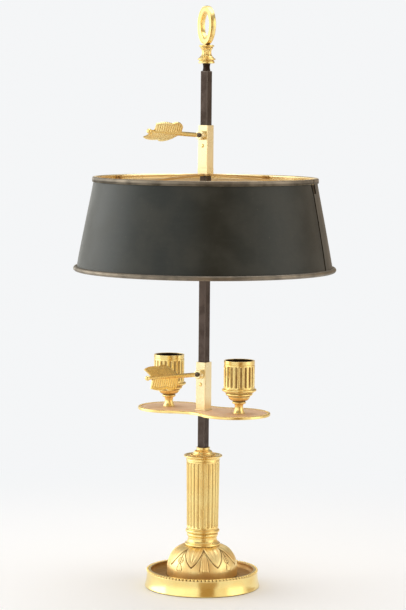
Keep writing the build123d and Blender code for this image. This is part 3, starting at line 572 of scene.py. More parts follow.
# %% [markdown]
# ## Beads, with Geometry Nodes
# Rows of small beads run round the foot, the cap, the candle nozzles and the edge of the plate. On
# the real lamp they were rolled or punched into the metal after casting. They all follow a line, so
# one Geometry Nodes tree makes them: it spaces a given number of beads along whatever guide line it
# gets. Each bead is a small ball of eighty faces, sunk to about its middle in the metal.

# %% Build the bead tree
def new_tree(name, inputs):
    """An empty Geometry Nodes tree with a geometry socket at both ends and named inputs."""
    tree = bpy.data.node_groups.new(name, "GeometryNodeTree")
    for label, kind in {"Geometry": "Geometry", **inputs}.items():
        tree.interface.new_socket(label, in_out="INPUT", socket_type="NodeSocket" + kind)
    tree.interface.new_socket("Geometry", in_out="OUTPUT", socket_type="NodeSocketGeometry")
    return tree, tree.nodes.new("NodeGroupInput").outputs


def close_tree(tree, shape, material):
    """Ends a tree: instances become real, and the result gets its material."""
    real = wire(tree, "GeometryNodeRealizeInstances", {"Geometry": shape})
    painted = wire(tree, "GeometryNodeSetMaterial", {"Geometry": real.outputs[0], "Material": material})
    wire(tree, "NodeGroupOutput", {"Geometry": painted.outputs[0]})


def grow(tree, guide, values, crease=CREASE):
    """Runs a tree on a guide object and keeps the result as the object's own plain mesh."""
    sockets = {item.name: item.identifier for item in tree.interface.items_tree if item.in_out == "INPUT"}
    modifier = guide.modifiers.new(tree.name, "NODES")
    modifier.node_group = tree
    for label, value in values.items():
        modifier[sockets[label]] = value
    return smooth(kept(guide), values["Material"], crease)


bead_tree, asked = new_tree("bead_row", {"Beads": "Int", "Bead Radius": "Float", "Material": "Material"})
line = wire(bead_tree, "GeometryNodeMeshToCurve", {"Mesh": asked["Geometry"]}).outputs[0]
spaced = wire(bead_tree, "GeometryNodeResampleCurve", {"Curve": line, "Count": asked["Beads"]}).outputs[0]
ball = wire(bead_tree, "GeometryNodeMeshIcoSphere", {"Radius": asked["Bead Radius"], "Subdivisions": 2})
beads = wire(bead_tree, "GeometryNodeInstanceOnPoints", {"Points": spaced, "Instance": ball.outputs[0]})
close_tree(bead_tree, beads.outputs[0], asked["Material"])


def bead_row(name, points, count, radius, material):
    """A closed row of beads along the points of a guide line, all in millimetres."""
    data = bpy.data.meshes.new(name)
    edges = [(here, (here + 1) % len(points)) for here in range(len(points))]
    data.from_pydata([[value * MM for value in point] for point in points], edges, [])
    guide = placed(name, data)
    return grow(bead_tree, guide, {"Beads": count, "Bead Radius": radius * MM, "Material": material}, 180)


def circle(radius, height, centre=0.0, steps=SPIN_STEPS):
    """Points of a level circle."""
    turns = [2 * math.pi * step / steps for step in range(steps)]
    return [(centre + radius * math.cos(turn), radius * math.sin(turn), height) for turn in turns]


print("bead tree:", len(bead_tree.nodes), "nodes")

# %% [markdown]
# ## The foot
# The foot is a shallow dish cast upside down: a burnished outer wall that flares at the table, a
# rounded lip, and a sunk floor in brown gilding, old gilding painted darker still as the shade inside
# the dish. Its outline is turned in one go, inside and out, so the underside is hollow as on the real
# one. Ninety-four beads sit in a small step where the lip meets the wall, with painted shade between them.

# %% Turn the foot
FOOT = reach("foot_dish")
FLOOR, CEILING, LIP = 11.8, 8.8, 18.0
TAIL_HOLE = 4.15
LIP_RADIUS = FOOT - 2.0
LIP_INNER = LIP_RADIUS - 3.6
BEAD_RADIUS, FOOT_BEADS = 1.5, 94

foot_outline = eased([
    (FOOT - 3.0, 0.0), (FOOT - 0.6, 0.0), (FOOT, 0.7), (FOOT, 1.5),
    *bow((FOOT - 0.25, 2.1), (LIP_RADIUS, 15.6), -0.5, 12), (LIP_RADIUS + 0.1, 16.0),
    (LIP_RADIUS - 0.1, 16.4), (LIP_RADIUS - 1.2, 16.5), (LIP_RADIUS - 1.3, 17.8), (LIP_RADIUS - 2.0, LIP),
    (LIP_RADIUS - 4.2, LIP), *bow((LIP_RADIUS - 4.6, LIP), (LIP_RADIUS - 6.4, FLOOR + 0.3), -0.9, 8),
    (LIP_RADIUS - 7.2, FLOOR + 0.3), (LIP_RADIUS - 7.5, FLOOR), (39.4, FLOOR), (39.0, FLOOR + 0.5),
    (38.0, FLOOR + 0.5), (37.6, FLOOR), (TAIL_HOLE, FLOOR), (TAIL_HOLE, CEILING),
    *bow((LIP_RADIUS - 8.0, CEILING), (LIP_RADIUS - 3.0, CEILING - 3.4), 1.2, 6), (FOOT - 3.0, 1.0),
])


def bead_step_shade(angle, radius, height):
    """Painted shade in the bead step, between the beads."""
    in_step = LIP_RADIUS - 1.4 < radius < LIP_RADIUS - 0.3 and height > 16.3
    return 0.0, 1.0 if in_step else 0.0


foot = turned("foot", foot_outline, polished_gilding, 256, bead_step_shade)
# The dish inside the lip is brown gilding, painted darker as the shade inside the dish.
second_finish(foot, aged_and_shaded_gilding, lambda x, y, z, normal: math.hypot(x, y) < LIP_INNER)
settle(foot, "stand", "gilt_bronze", "foot_dish")
foot_beads = bead_row("foot_beads", circle(LIP_RADIUS - 1.0, 17.1), FOOT_BEADS, BEAD_RADIUS, gilding)
settle(foot_beads, "stand", "gilt_bronze")

# %% [markdown]
# ## The leaf dome
# The boss on the foot is chased with a belt of leaves: eight hollow tongues hang from the collar, and
# in the gaps between them stand ribbed buds, each second one shorter, under a small ringed flower.
# Such a carving is a rule more than a shape: for every point the code asks how far it lies inside a
# tongue or a bud and raises or sinks it by a part of a millimetre. The depth is kept as the
# wax_and_shade value, so the chased lines show dark, with old wax and painted shade in them.

# %% Chase the leaves
DOME_TOP, DOME_FOOT, SHOULDER = level("leaf_dome"), level("leaf_dome", False), 19.0
DOME_RADIUS, CROWN_START, DOME_WALL = reach("leaf_dome"), 16.3, 2.6
LEAVES, FIRST_LEAF = 8, 16.5
TONGUE_TIP, BUD_TIP, BUD_FOOT, FLOWER_PLACE = 0.82, 0.40, 0.94, 0.64
BORDER, SHORT_BUD, LONG_BUD, BUD_RIBS = 3.3, 3.4, 4.9, 2.3
CROWN_LENGTH = 35.0
HALF_PITCH = 180.0 / LEAVES


def rise(value, start, end):
    """Runs smoothly from 0 to 1 between start and end."""
    share = min(max((value - start) / (end - start), 0.0), 1.0)
    return share * share * (3 - 2 * share)


def ridge(distance, width):
    """A round-backed ridge, 1 on its crest and gone two widths away."""
    return math.exp(-(distance / width) ** 2)


def leaf_relief(angle, radius, height):
    """Height of the chased leaves off the plain dome, and their wax_and_shade value."""
    if height < SHOULDER - 0.5 or radius < CROWN_START + 1.0:
        return 0.0, 0.0
    climb = min(max((height - SHOULDER) / (DOME_TOP - SHOULDER), 0.0), 1.0)
    down = 1 - math.asin(climb) / (math.pi / 2)
    gap = round((angle - FIRST_LEAF) / (2 * HALF_PITCH) - 0.5)
    turn = (angle - FIRST_LEAF + HALF_PITCH) % (2 * HALF_PITCH) - HALF_PITCH
    half_width = math.radians(HALF_PITCH) * radius
    from_middle = abs(math.radians(turn)) * radius
    # How far the point lies inside the outline of its tongue, in millimetres.
    tongue = 1.1 * max(1 - (down / TONGUE_TIP) ** 1.3, 0.0) ** 0.75 * half_width
    inside = (tongue - from_middle) * 0.8
    if down > TONGUE_TIP:
        inside = min(inside, (TONGUE_TIP - down) * CROWN_LENGTH)
    # The tongue's border stands up with a chased line round it; its middle is hollow, with a rib.
    raised = 0.40 * rise(inside, -0.1, 0.5) - 0.50 * ridge(inside + 0.30, 0.50)
    hollow = inside - BORDER
    raised -= 0.45 * rise(hollow, 0.0, 0.55) + 0.30 * ridge(hollow, 0.35)
    if hollow > 0:
        raised += 0.35 * ridge(from_middle, 0.55)
    elif inside > 0.6:
        raised -= 0.10 * ridge(inside - 1.7, 0.25)
    # Between two tongues stands a ribbed bud, and over each short one a flower of rings.
    if inside < 0:
        side = half_width - from_middle
        short = gap % 2
        tip = FLOWER_PLACE + 0.11 if short else BUD_TIP
        share = min(max((down - tip) / (BUD_FOOT - tip), 0.0), 1.0)
        bud = (SHORT_BUD if short else LONG_BUD) * share ** 0.45 - side
        if down < BUD_FOOT:
            raised += 0.25 * rise(bud, -0.1, 0.5) * (0.7 + 0.3 * math.cos(2 * math.pi * side / BUD_RIBS))
            between_ribs = ridge(side % BUD_RIBS - BUD_RIBS / 2, 0.30)
            raised -= 0.34 * ridge(bud + 0.2, 0.40) + 0.22 * rise(bud, 0.2, 0.8) * between_ribs
        if short:
            from_flower = math.hypot(side, (down - FLOWER_PLACE) * CROWN_LENGTH)
            raised += 0.30 * ridge(from_flower - 2.3, 0.5) + 0.30 * ridge(from_flower, 0.8)
            raised -= 0.32 * ridge(from_flower - 1.3, 0.4) + 0.32 * ridge(from_flower - 3.3, 0.4)
    return raised, min(max(-raised * 2.6, 0.0), 1.0)


def crown(inset, turns):
    """The round top of the dome, from shoulder to collar, at an inset from its outside."""
    wide, high = DOME_RADIUS - CROWN_START - inset, DOME_TOP - SHOULDER - inset
    return [(CROWN_START + wide * math.cos(turn), SHOULDER + high * math.sin(turn))
            for turn in map(math.radians, turns)]


dome_outline = [
    (DOME_RADIUS - DOME_WALL, DOME_FOOT), (DOME_RADIUS - 0.2, DOME_FOOT), (DOME_RADIUS, DOME_FOOT + 0.2),
    (DOME_RADIUS, DOME_FOOT + 2.0), (DOME_RADIUS, DOME_FOOT + 4.5),
    *crown(0.0, [90 * step / 104 for step in range(105)]), (TAIL_HOLE, DOME_TOP),
    (TAIL_HOLE, DOME_TOP - DOME_WALL), *crown(DOME_WALL, range(90, -1, -10)),
]
dome = turned("leaf_chased_dome", dome_outline, chased_gilding, 640, leaf_relief)
settle(dome, "stand", "gilt_bronze", "leaf_dome")

# %% [markdown]
# ## Collar, cap and socket
# Three turned pieces frame the column: a collar with a ring, a hollow neck and a fat roll below it, a
# flared cap above it, and on the cap a bell-shaped socket that grips the rod. They are outlines and
# nothing more. A fine row of beads lies round the socket's foot.

# %% Turn the collar
COLLAR_FOOT, COLUMN_FOOT = level("column_collar", False), level("fluted_column", False)
COLUMN_HEAD, SPIGOT = level("fluted_column"), 12.35
RING_EDGE, COVE_FOOT, COVE_HEAD = COLLAR_FOOT + 2.7, COLLAR_FOOT + 3.4, COLLAR_FOOT + 8.8
collar_outline = eased([
    (TAIL_HOLE, COLLAR_FOOT), (18.0, COLLAR_FOOT),
    *bow((18.1, COLLAR_FOOT + 0.1), (18.1, RING_EDGE - 0.1), 0.4, 6),
    (17.6, RING_EDGE), (17.0, RING_EDGE + 0.2), (17.0, COVE_FOOT - 0.1), (16.6, COVE_FOOT),
    *bow((16.5, COVE_FOOT + 0.1), (15.2, COVE_HEAD), -0.7, 12), (15.1, COVE_HEAD + 0.1),
    (15.1, COVE_HEAD + 0.6), (15.3, COVE_HEAD + 0.7),
    *bow((15.5, COVE_HEAD + 0.8), (15.8, COLUMN_FOOT - 5.0), 0.6, 8),
    (15.6, COLUMN_FOOT - 4.9), (15.6, COLUMN_FOOT - 4.6),
    *bow((16.2, COLUMN_FOOT - 4.5), (16.5, COLUMN_FOOT - 0.9), 1.35, 10),
    (16.2, COLUMN_FOOT - 0.7), (16.2, COLUMN_FOOT - 0.3), (16.4, COLUMN_FOOT), (SPIGOT, COLUMN_FOOT),
    (SPIGOT, COLUMN_FOOT + 3.0), (TAIL_HOLE, COLUMN_FOOT + 3.0),
])
settle(turned("turned_collar", collar_outline, gilding), "stand", "gilt_bronze", "column_collar")

# %% Turn the cap and the rod socket
CAP_TOP, CAP_RADIUS = level("column_cap"), reach("column_cap")
CAP_FIELD = CAP_TOP - 0.5
cap_outline = eased([
    (TAIL_HOLE, COLUMN_HEAD - 3.0), (SPIGOT, COLUMN_HEAD - 3.0), (SPIGOT, COLUMN_HEAD), (17.25, COLUMN_HEAD),
    (17.6, COLUMN_HEAD + 0.5), *bow((17.3, COLUMN_HEAD + 0.9), (CAP_RADIUS - 0.3, CAP_TOP - 1.5), -0.75, 8),
    (CAP_RADIUS, CAP_TOP - 1.4), (CAP_RADIUS, CAP_TOP - 0.4), (CAP_RADIUS - 0.6, CAP_TOP),
    (CAP_RADIUS - 2.6, CAP_TOP), (CAP_RADIUS - 3.2, CAP_FIELD), (TAIL_HOLE, CAP_FIELD),
])
settle(turned("flared_cap", cap_outline, gilding), "stand", "gilt_bronze", "column_cap")
cap_beads = bead_row("cap_beads", circle(12.6, CAP_TOP - 0.3), 42, 0.85, gilding)
settle(cap_beads, "stand", "gilt_bronze")

SOCKET_TOP, SOCKET_RADIUS = level("rod_socket"), reach("rod_socket")
ROD_SEAT, SEAT_RADIUS = SOCKET_TOP - 4.3, 6.05
socket_outline = eased([
    (TAIL_HOLE, CAP_FIELD), (SOCKET_RADIUS, CAP_FIELD),
    *bow((SOCKET_RADIUS, CAP_TOP), (10.9, CAP_TOP + 1.5), 0.25, 5), (10.2, CAP_TOP + 1.7),
    *bow((10.0, CAP_TOP + 1.9), (7.5, CAP_TOP + 5.0), 0.6, 8),
    *bow((7.5, CAP_TOP + 5.0), (6.5, CAP_TOP + 6.6), -0.25, 4), (7.1, CAP_TOP + 6.9), (7.1, SOCKET_TOP),
    (SEAT_RADIUS, SOCKET_TOP), (SEAT_RADIUS, ROD_SEAT), (TAIL_HOLE, ROD_SEAT),
])
settle(turned("bell_socket", socket_outline, gilding), "stand", "gilt_bronze", "rod_socket")

# %% [markdown]
# ## Flutes, with Geometry Nodes
# The column and both candle cups are fluted: the same groove again and again, straight, with round
# ends. On the bench a cutter is drawn down the blank and the blank is turned on by one step. The tree
# does the same to a plain turned blank: it finds how far each point lies from the middle of its
# groove, and pushes it in by the depth of a round-ended channel. Only the outer wall is touched,
# because a radius is given below which nothing moves.

# %% Build the fluting tree
flute_tree, asked = new_tree("flutes", {
    "Flutes": "Int", "Half Width": "Float", "Depth": "Float", "Low End": "Float", "High End": "Float",
    "Spare Radius": "Float", "Centre X": "Float", "Turn": "Float", "Channel Shade": "Float", "Edge Shade": "Float",
    "Material": "Material"})
place = wire(flute_tree, "GeometryNodeInputPosition").outputs[0]
parts = wire(flute_tree, "ShaderNodeSeparateXYZ", {0: place}).outputs


def step_on(operation, first, second=0.0, third=0.0):
    """One step of arithmetic in the fluting tree."""
    return sum_up(flute_tree, operation, first, second, third)


def squares(first, second):
    """The squares of two lengths, added."""
    return step_on("ADD", step_on("MULTIPLY", first, first), step_on("MULTIPLY", second, second))


side_x = step_on("SUBTRACT", parts["X"], asked["Centre X"])
radius = step_on("SQRT", squares(side_x, parts["Y"]))
angle = step_on("ADD", step_on("ARCTAN2", parts["Y"], side_x), asked["Turn"])
which = step_on("MULTIPLY", step_on("DIVIDE", angle, 2 * math.pi), asked["Flutes"])
share = step_on("SUBTRACT", step_on("FRACT", which), 0.5)
pitch = step_on("DIVIDE", step_on("MULTIPLY", radius, 2 * math.pi), asked["Flutes"])
aside = step_on("MULTIPLY", share, pitch)
below = step_on("SUBTRACT", asked["Low End"], parts["Z"])
above = step_on("SUBTRACT", parts["Z"], asked["High End"])
beyond = step_on("MAXIMUM", step_on("MAXIMUM", below, above), 0.0)
half_square = step_on("MULTIPLY", asked["Half Width"], asked["Half Width"])
ratio = step_on("DIVIDE", squares(aside, beyond), half_square)
channel = step_on("SQRT", step_on("MAXIMUM", step_on("SUBTRACT", 1.0, ratio), 0.0))
outer = step_on("GREATER_THAN", radius, asked["Spare Radius"])
cut = step_on("MULTIPLY", channel, outer)
push = step_on("DIVIDE", step_on("MULTIPLY", cut, step_on("MULTIPLY", asked["Depth"], -1.0)), radius)
inward = wire(flute_tree, "ShaderNodeCombineXYZ", {
    "X": step_on("MULTIPLY", side_x, push), "Y": step_on("MULTIPLY", parts["Y"], push)}).outputs[0]
# Painted shade: each channel, and a thin line along its edges, gets a wax_and_shade value that darkens it, on
# top of the value the blank already has.
carved = wire(flute_tree, "GeometryNodeInputNamedAttribute", {"Name": "wax_and_shade"}, data_type="FLOAT")
off_edge = step_on("ABSOLUTE", step_on("MULTIPLY_ADD", cut, 2.0, -1.0))
edge_shade = step_on("MULTIPLY", asked["Edge Shade"], outer)
at_edge = step_on("MULTIPLY", step_on("SUBTRACT", 1.0, off_edge), edge_shade)
groove_shade = step_on("MAXIMUM", step_on("MULTIPLY", cut, asked["Channel Shade"]), at_edge)
groove_shade = step_on("MAXIMUM", groove_shade, carved.outputs["Attribute"])
noted = wire(flute_tree, "GeometryNodeStoreNamedAttribute", {
    "Geometry": asked["Geometry"], "Name": "wax_and_shade", "Value": groove_shade}, data_type="FLOAT", domain="POINT")
fluted = wire(flute_tree, "GeometryNodeSetPosition", {"Geometry": noted.outputs[0], "Offset": inward})
close_tree(flute_tree, fluted.outputs[0], asked["Material"])
print("fluting tree:", len(flute_tree.nodes), "nodes")

# %% Flute the column
FLUTES, FLUTE_HALF, FLUTE_DEPTH, FLUTE_MARGIN = 24, 1.7, 0.9, 1.6
COLUMN_BORE = 12.4


def stack(radius_low, radius_high, low, high, count):
    """Evenly spaced outline points up a straight wall."""
    return [(radius_low + (radius_high - radius_low) * step / count, low + (high - low) * step / count)
            for step in range(count + 1)]


column_blank = turned("fluted_shaft", [(COLUMN_BORE, COLUMN_FOOT), (16.2, COLUMN_FOOT),
                      *stack(16.4, 17.25, COLUMN_FOOT + 0.2, COLUMN_HEAD - 0.2, 96), (17.05, COLUMN_HEAD),
                      (COLUMN_BORE, COLUMN_HEAD)], gilding, FLUTES * 16)
column = grow(flute_tree, column_blank, {
    "Flutes": FLUTES, "Half Width": FLUTE_HALF * MM, "Depth": FLUTE_DEPTH * MM,
    "Low End": (COLUMN_FOOT + FLUTE_MARGIN + FLUTE_HALF) * MM,
    "High End": (COLUMN_HEAD - FLUTE_MARGIN - FLUTE_HALF) * MM,
    "Spare Radius": 15.0 * MM, "Turn": 0.0, "Channel Shade": 0.15, "Edge Shade": 0.85, "Material": gilding})
settle(column, "stand", "gilt_bronze", "fluted_column")

# %% [markdown]
# ## The square rod
# The rod is drawn steel, browned by age, with its four edges rubbed lighter where the slides run. A
# squared skin works like a turned one, but each ring is a square with small round corners. Above the
# square part the rod has a round neck, and a stud that goes up into the finial.

# %% Draw the rod
ROD_HALF, ROD_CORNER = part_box("stem_rod")[1][0] / MM, 0.45
ROD_SQUARE_TOP = 534.0


def squared(name, outline, material, corner=ROD_CORNER, turns=4):
    """Like turned, but every ring is a square of that half width with small round corners."""
    rings = []
    for half, height in outline:
        rounding = min(corner, 0.9 * half)
        ring = []
        for quarter in range(4):
            middle = math.radians(45 + 90 * quarter)
            corner_x = math.copysign(half - rounding, math.cos(middle))
            corner_y = math.copysign(half - rounding, math.sin(middle))
            for turn in range(turns + 1):
                x, y = around(rounding, 90 * quarter + 90 * turn / turns)
                ring.append((corner_x + x, corner_y + y, height, 0.0))
        rings.append(ring)
    return smooth(skin(name, rings), material)


rod = squared("square_rod", [
    (0.02, ROD_SEAT), (ROD_HALF - 0.3, ROD_SEAT),
    *stack(ROD_HALF, ROD_HALF, ROD_SEAT + 0.3, ROD_SQUARE_TOP - 0.5, 40),
    (ROD_HALF - 0.5, ROD_SQUARE_TOP), (0.02, ROD_SQUARE_TOP)], rod_steel)
STUD_TOP, TAIL_END, FINIAL_FOOT = level("stem_rod"), level("stem_rod", False), level("finial_baluster", False)
# The round neck gets the full wax_and_shade value: it is painted dark as shade.
rod_head = turned("rod_head", eased([
    (0.0, ROD_SQUARE_TOP - 0.5), (4.0, ROD_SQUARE_TOP - 0.5), (4.0, ROD_SQUARE_TOP + 0.6),
    *bow((3.75, ROD_SQUARE_TOP + 1.2), (3.75, FINIAL_FOOT - 0.9), -0.3, 6), (4.0, FINIAL_FOOT - 0.4),
    (3.75, FINIAL_FOOT), (3.0, FINIAL_FOOT), (3.0, STUD_TOP - 0.5), (2.5, STUD_TOP), (0.0, STUD_TOP),
]), rod_steel, 48, lambda angle, radius, height: (0.0, 1.0))
rod_tail = turned("rod_tail", eased([
    (0.0, TAIL_END), (3.5, TAIL_END), (4.0, TAIL_END + 0.5), (4.0, ROD_SEAT + 0.2), (0.0, ROD_SEAT + 0.2),
]), rod_steel, 48)
joined(rod, rod_head, rod_tail)
settle(rod, "stand", "rod_steel", "stem_rod")

# %% [markdown]
# ## Small hardware, eased
# Nuts, the washer, the spring leaves and the spider keep the shape that the frame gives them. Only
# their edges are too sharp, so each gets a copy with its loose triangles merged and a narrow bevel
# along every edge.

# %% Ease the hidden hardware
def eased_copy(node, name, material, width):
    """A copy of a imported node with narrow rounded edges."""
    low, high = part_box(node)
    copy = placed(name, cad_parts[node].data.copy())
    mesh = bmesh.new()
    mesh.from_mesh(copy.data)
    bmesh.ops.remove_doubles(mesh, verts=mesh.verts, dist=1e-3 * MM)
    bmesh.ops.dissolve_limit(mesh, angle_limit=math.radians(1.0), verts=mesh.verts, edges=mesh.edges)
    mesh.to_mesh(copy.data)
    mesh.free()
    bevel = copy.modifiers.new("eased_edges", "BEVEL")
    bevel.width, bevel.segments = width * MM, 2
    bevel.limit_method, bevel.angle_limit = "ANGLE", math.radians(35)
    kept(copy).data.materials.clear()
    print(f"{name}: {max(high - low) / MM:.1f} mm long")
    return smooth(copy, material)


LEAF_EDGE, NUT_EDGE = 0.08, 0.35
for node, name, body, edge in (
        ("base_washer", "foot_washer", "stand", NUT_EDGE), ("base_nut", "foot_nut", "stand", NUT_EDGE),
        ("nozzle_nuts", "stud_nuts", "candle_arm", NUT_EDGE),
        ("arm_spring_leaf", "arm_spring", "candle_arm", LEAF_EDGE),
        ("shade_spring_leaf", "shade_spring", "shade_carrier", LEAF_EDGE)):
    settle(eased_copy(node, name, screw_steel, edge), body, "screw_steel", node)

# %% [markdown]
# ## The finial
# A small baluster ends the rod, and a flat ring stands on it to lift the lamp by. The baluster is
# turned, with short chased leaves round its waist. The ring is turned too, lying down, with a raised
# rim on each face, and then it is stood up and turned to where it points.

# %% Turn the baluster
FINIAL_TOP = level("finial_baluster")
WAIST_LEAVES, WAIST_FOOT, WAIST_LENGTH = 10, 6.8, 8.6


def waist_leaves(angle, radius, height):
    """Short leaves round the hollow of the baluster."""
    climb = (height - FINIAL_FOOT - WAIST_FOOT) / WAIST_LENGTH
    if not 0 < climb < 1 or radius < 4.0:
        return 0.0, 0.0
    aside = abs((angle / (360.0 / WAIST_LEAVES)) % 1.0 - 0.5) * 2
    inside = (1 - climb ** 2) * 0.95 - aside
    raised = 0.22 * rise(inside, 0.0, 0.3) - 0.16 * ridge(inside + 0.05, 0.12)
    return raised, min(max(-raised * 5, 0.0), 1.0)


baluster_outline = eased([
    (0.0, FINIAL_FOOT), *bow((7.9, FINIAL_FOOT), (7.9, FINIAL_FOOT + 2.6), 0.4, 6),
    (7.3, FINIAL_FOOT + 2.9), (7.3, FINIAL_FOOT + 3.5),
    *bow((8.7, FINIAL_FOOT + 3.8), (8.7, FINIAL_FOOT + 5.4), 0.55, 6),
    (7.6, FINIAL_FOOT + 5.9), (7.3, FINIAL_FOOT + 6.5),
    *bow((6.9, FINIAL_FOOT + 6.6), (6.2, FINIAL_TOP - 3.6), -1.9, 22),
    (6.6, FINIAL_TOP - 3.2), (6.6, FINIAL_TOP - 2.7), (5.9, FINIAL_TOP - 2.5),
    *bow((7.3, FINIAL_TOP - 2.0), (7.3, FINIAL_TOP - 0.3), 0.5, 5), (6.6, FINIAL_TOP), (0.0, FINIAL_TOP),
])
baluster = turned("finial_vase", baluster_outline, gilding, 160, waist_leaves)
settle(baluster, "stand", "gilt_bronze", "finial_baluster")

# %% Turn the ring and stand it up
RING_OUTER, RING_INNER, RING_HALF, RING_TURN = 19.9, 12.4, 2.9, -34.0
ring_middle = level("finial_ring") - RING_OUTER
ring_face = [(RING_OUTER - 1.6, RING_HALF), (RING_OUTER - 2.0, RING_HALF - 0.5),
             (RING_INNER + 2.0, RING_HALF - 0.5), (RING_INNER + 1.6, RING_HALF)]
ring_section = eased([
    *bow((RING_OUTER - 0.5, -RING_HALF), (RING_OUTER - 0.5, RING_HALF), 0.5, 6), *ring_face,
    *bow((RING_INNER + 0.4, RING_HALF), (RING_INNER + 0.4, -RING_HALF), 0.4, 6),
    *[(radius, -height) for radius, height in ring_face[::-1]]])
ring = turned("lifting_ring", ring_section, gilding, 144)
stood_up = Matrix.Rotation(math.radians(RING_TURN), 4, "Z") @ Matrix.Rotation(math.radians(90), 4, "X")
ring.data.transform(Matrix.Translation(UP * ring_middle * MM) @ stood_up)
peg = turned("ring_peg", eased([
    (0.0, FINIAL_TOP - 6.0), (2.2, FINIAL_TOP - 6.0), (2.2, FINIAL_TOP), (3.4, FINIAL_TOP),
    (3.4, FINIAL_TOP + 0.7), (2.6, FINIAL_TOP + 1.4), (0.0, FINIAL_TOP + 1.4)]), gilding, 40)
joined(ring, peg)
settle(ring, "stand", "gilt_bronze", "finial_ring")

# %% [markdown]
# ## The slides
# Both slides are square tubes folded from brass sheet. In front each has a round boss for its screw,
# soldered on with a slight upward tilt, and below it the head of the rivet that holds the spring
# inside. The tube is skinned like the rod, and the screw's hole is drilled through its front wall
# with a Boolean cut. The arm's slide also has a small square flange where it sits on the plate.

# %% Fold the slides
SLIDE_HALF, BORE_HALF, SLIDE_WALL = 5.8, 4.85, 0.95
BOSS_RADIUS, BOSS_LENGTH, SCREW_HOLE = 4.6, 6.5, 1.95
KEY_RISE = math.radians(3.0)
RIVET_DROP = 10.6
key_axis = Vector((0, -math.cos(KEY_RISE), math.sin(KEY_RISE)))
key_up = Vector((0, math.sin(KEY_RISE), math.cos(KEY_RISE)))
PLATE_BOTTOM, PLATE_TOP = level("candle_plate", False), level("candle_plate")
FIELD = PLATE_TOP - 0.6
ARM_SLIDE_TOP, SHADE_SLIDE_TOP = level("arm_slide"), level("shade_slide")
HUB_TOP = level("shade_slide", False)
ARM_BOSS, SHADE_BOSS = PLATE_TOP + 36.9, SHADE_SLIDE_TOP - 10.4


def in_front(height, *axes):
    """Matrix that lays a piece by its three axes, with its origin on the front of a slide at a height."""
    turn = Matrix(axes).transposed().to_4x4()
    return Matrix.Translation(Vector((0, -SLIDE_HALF, height)) * MM) @ turn


def along_key(boss, lean=0.0):
    """Matrix that lays a piece with its axis on Z along a key: Z to the key, X to the vane's way up."""
    upright = key_up * math.cos(math.radians(lean)) + Vector((1, 0, 0)) * math.sin(math.radians(lean))
    return in_front(boss, upright, key_axis.cross(upright), key_axis)


def drilled(piece, drill):
    """Cuts a drill shape out of a piece and throws the drill away."""
    cutter = piece.modifiers.new("drill", "BOOLEAN")
    cutter.object, cutter.solver, cutter.operation = drill, "EXACT", "DIFFERENCE"
    kept(piece)
    bpy.data.objects.remove(drill)
    return smooth(piece, piece.data.materials[0])


def folded_slide(name, low, high, boss, flange_level=None):
    """A square tube with its boss and, if a level is given, a flange."""
    wall = eased([(BORE_HALF, low), (SLIDE_HALF, low), (SLIDE_HALF, high), (BORE_HALF, high)], 0.3)
    tube = squared(name, wall, pale_gilding, 0.5)
    drill = turned("drill", [(0, -3.0), (SCREW_HOLE, -3.0), (SCREW_HOLE, 3.0), (0, 3.0)], gilding, 40)
    drill.data.transform(along_key(boss))
    drilled(tube, drill)
    collar = turned(name + "_boss", eased([
        (SCREW_HOLE, -0.5), (BOSS_RADIUS, -0.5), (BOSS_RADIUS, BOSS_LENGTH - 1.4),
        (BOSS_RADIUS - 0.35, BOSS_LENGTH - 1.1), (BOSS_RADIUS, BOSS_LENGTH - 0.8),
        (BOSS_RADIUS - 0.3, BOSS_LENGTH), (SCREW_HOLE + 0.6, BOSS_LENGTH),
        (SCREW_HOLE, BOSS_LENGTH - 0.6)], 0.3), pale_gilding, 64)
    collar.data.transform(along_key(boss))
    shells = [collar]
    if flange_level is not None:
        rim, neck = SLIDE_HALF + 0.9, SLIDE_HALF - 0.4
        shells.append(squared(name + "_flange", eased([
            (neck, flange_level), (rim, flange_level), (rim, flange_level + 0.9),
            (SLIDE_HALF + 0.2, flange_level + 1.6), (neck, flange_level + 1.6)], 0.25), pale_gilding, 0.7))
    return joined(tube, *shells)


def rivet(name, boss):
    """A round-headed rivet through the front wall of a slide."""
    pin = turned(name, [(0, -SLIDE_WALL - 0.45), (1.1, -SLIDE_WALL - 0.45), (1.1, -0.05), (1.95, 0.0),
                 *bow((1.95, 0.0), (0.0, 0.8), 0.42, 7)], gilding, 40)
    pin.data.transform(in_front(boss - RIVET_DROP, Vector((1, 0, 0)), Vector((0, 0, 1)), Vector((0, -1, 0))))
    return pin


arm_slide = folded_slide("arm_square_slide", PLATE_BOTTOM, ARM_SLIDE_TOP, ARM_BOSS, FIELD)
settle(arm_slide, "candle_arm", "gilt_bronze", "arm_slide")
shade_slide = folded_slide("shade_square_slide", HUB_TOP, SHADE_SLIDE_TOP, SHADE_BOSS)
settle(shade_slide, "shade_carrier", "gilt_bronze", "shade_slide")
settle(rivet("arm_rivet_head", ARM_BOSS), "candle_arm", "gilt_bronze", "arm_spring_rivet")
settle(rivet("shade_rivet_head", SHADE_BOSS), "shade_carrier", "gilt_bronze", "shade_spring_rivet")

# %% [markdown]
# ## The candle plate
# The plate is two round lobes joined by a waist, with a raised bright rim and a sunk matt field. Its
# edge is the same line at several offsets, so the skin climbs from the underside over the rim and
# down to the field, and ends at the square hole for the slide. Small beads lie in a groove just
# inside the rim, and a line is engraved a little further in.

# %% Raise the plate
LOBE_PLACE, LOBE_RADIUS, WAIST_HALF = 38.5, 37.0, 26.0
waist_arc = (LOBE_PLACE ** 2 + WAIST_HALF ** 2 - LOBE_RADIUS ** 2) / (2 * (LOBE_RADIUS - WAIST_HALF))
waist_middle = WAIST_HALF + waist_arc
lobe_opening = math.degrees(math.atan2(waist_middle, LOBE_PLACE))
LOBE_STEPS, WAIST_STEPS = 72, 24


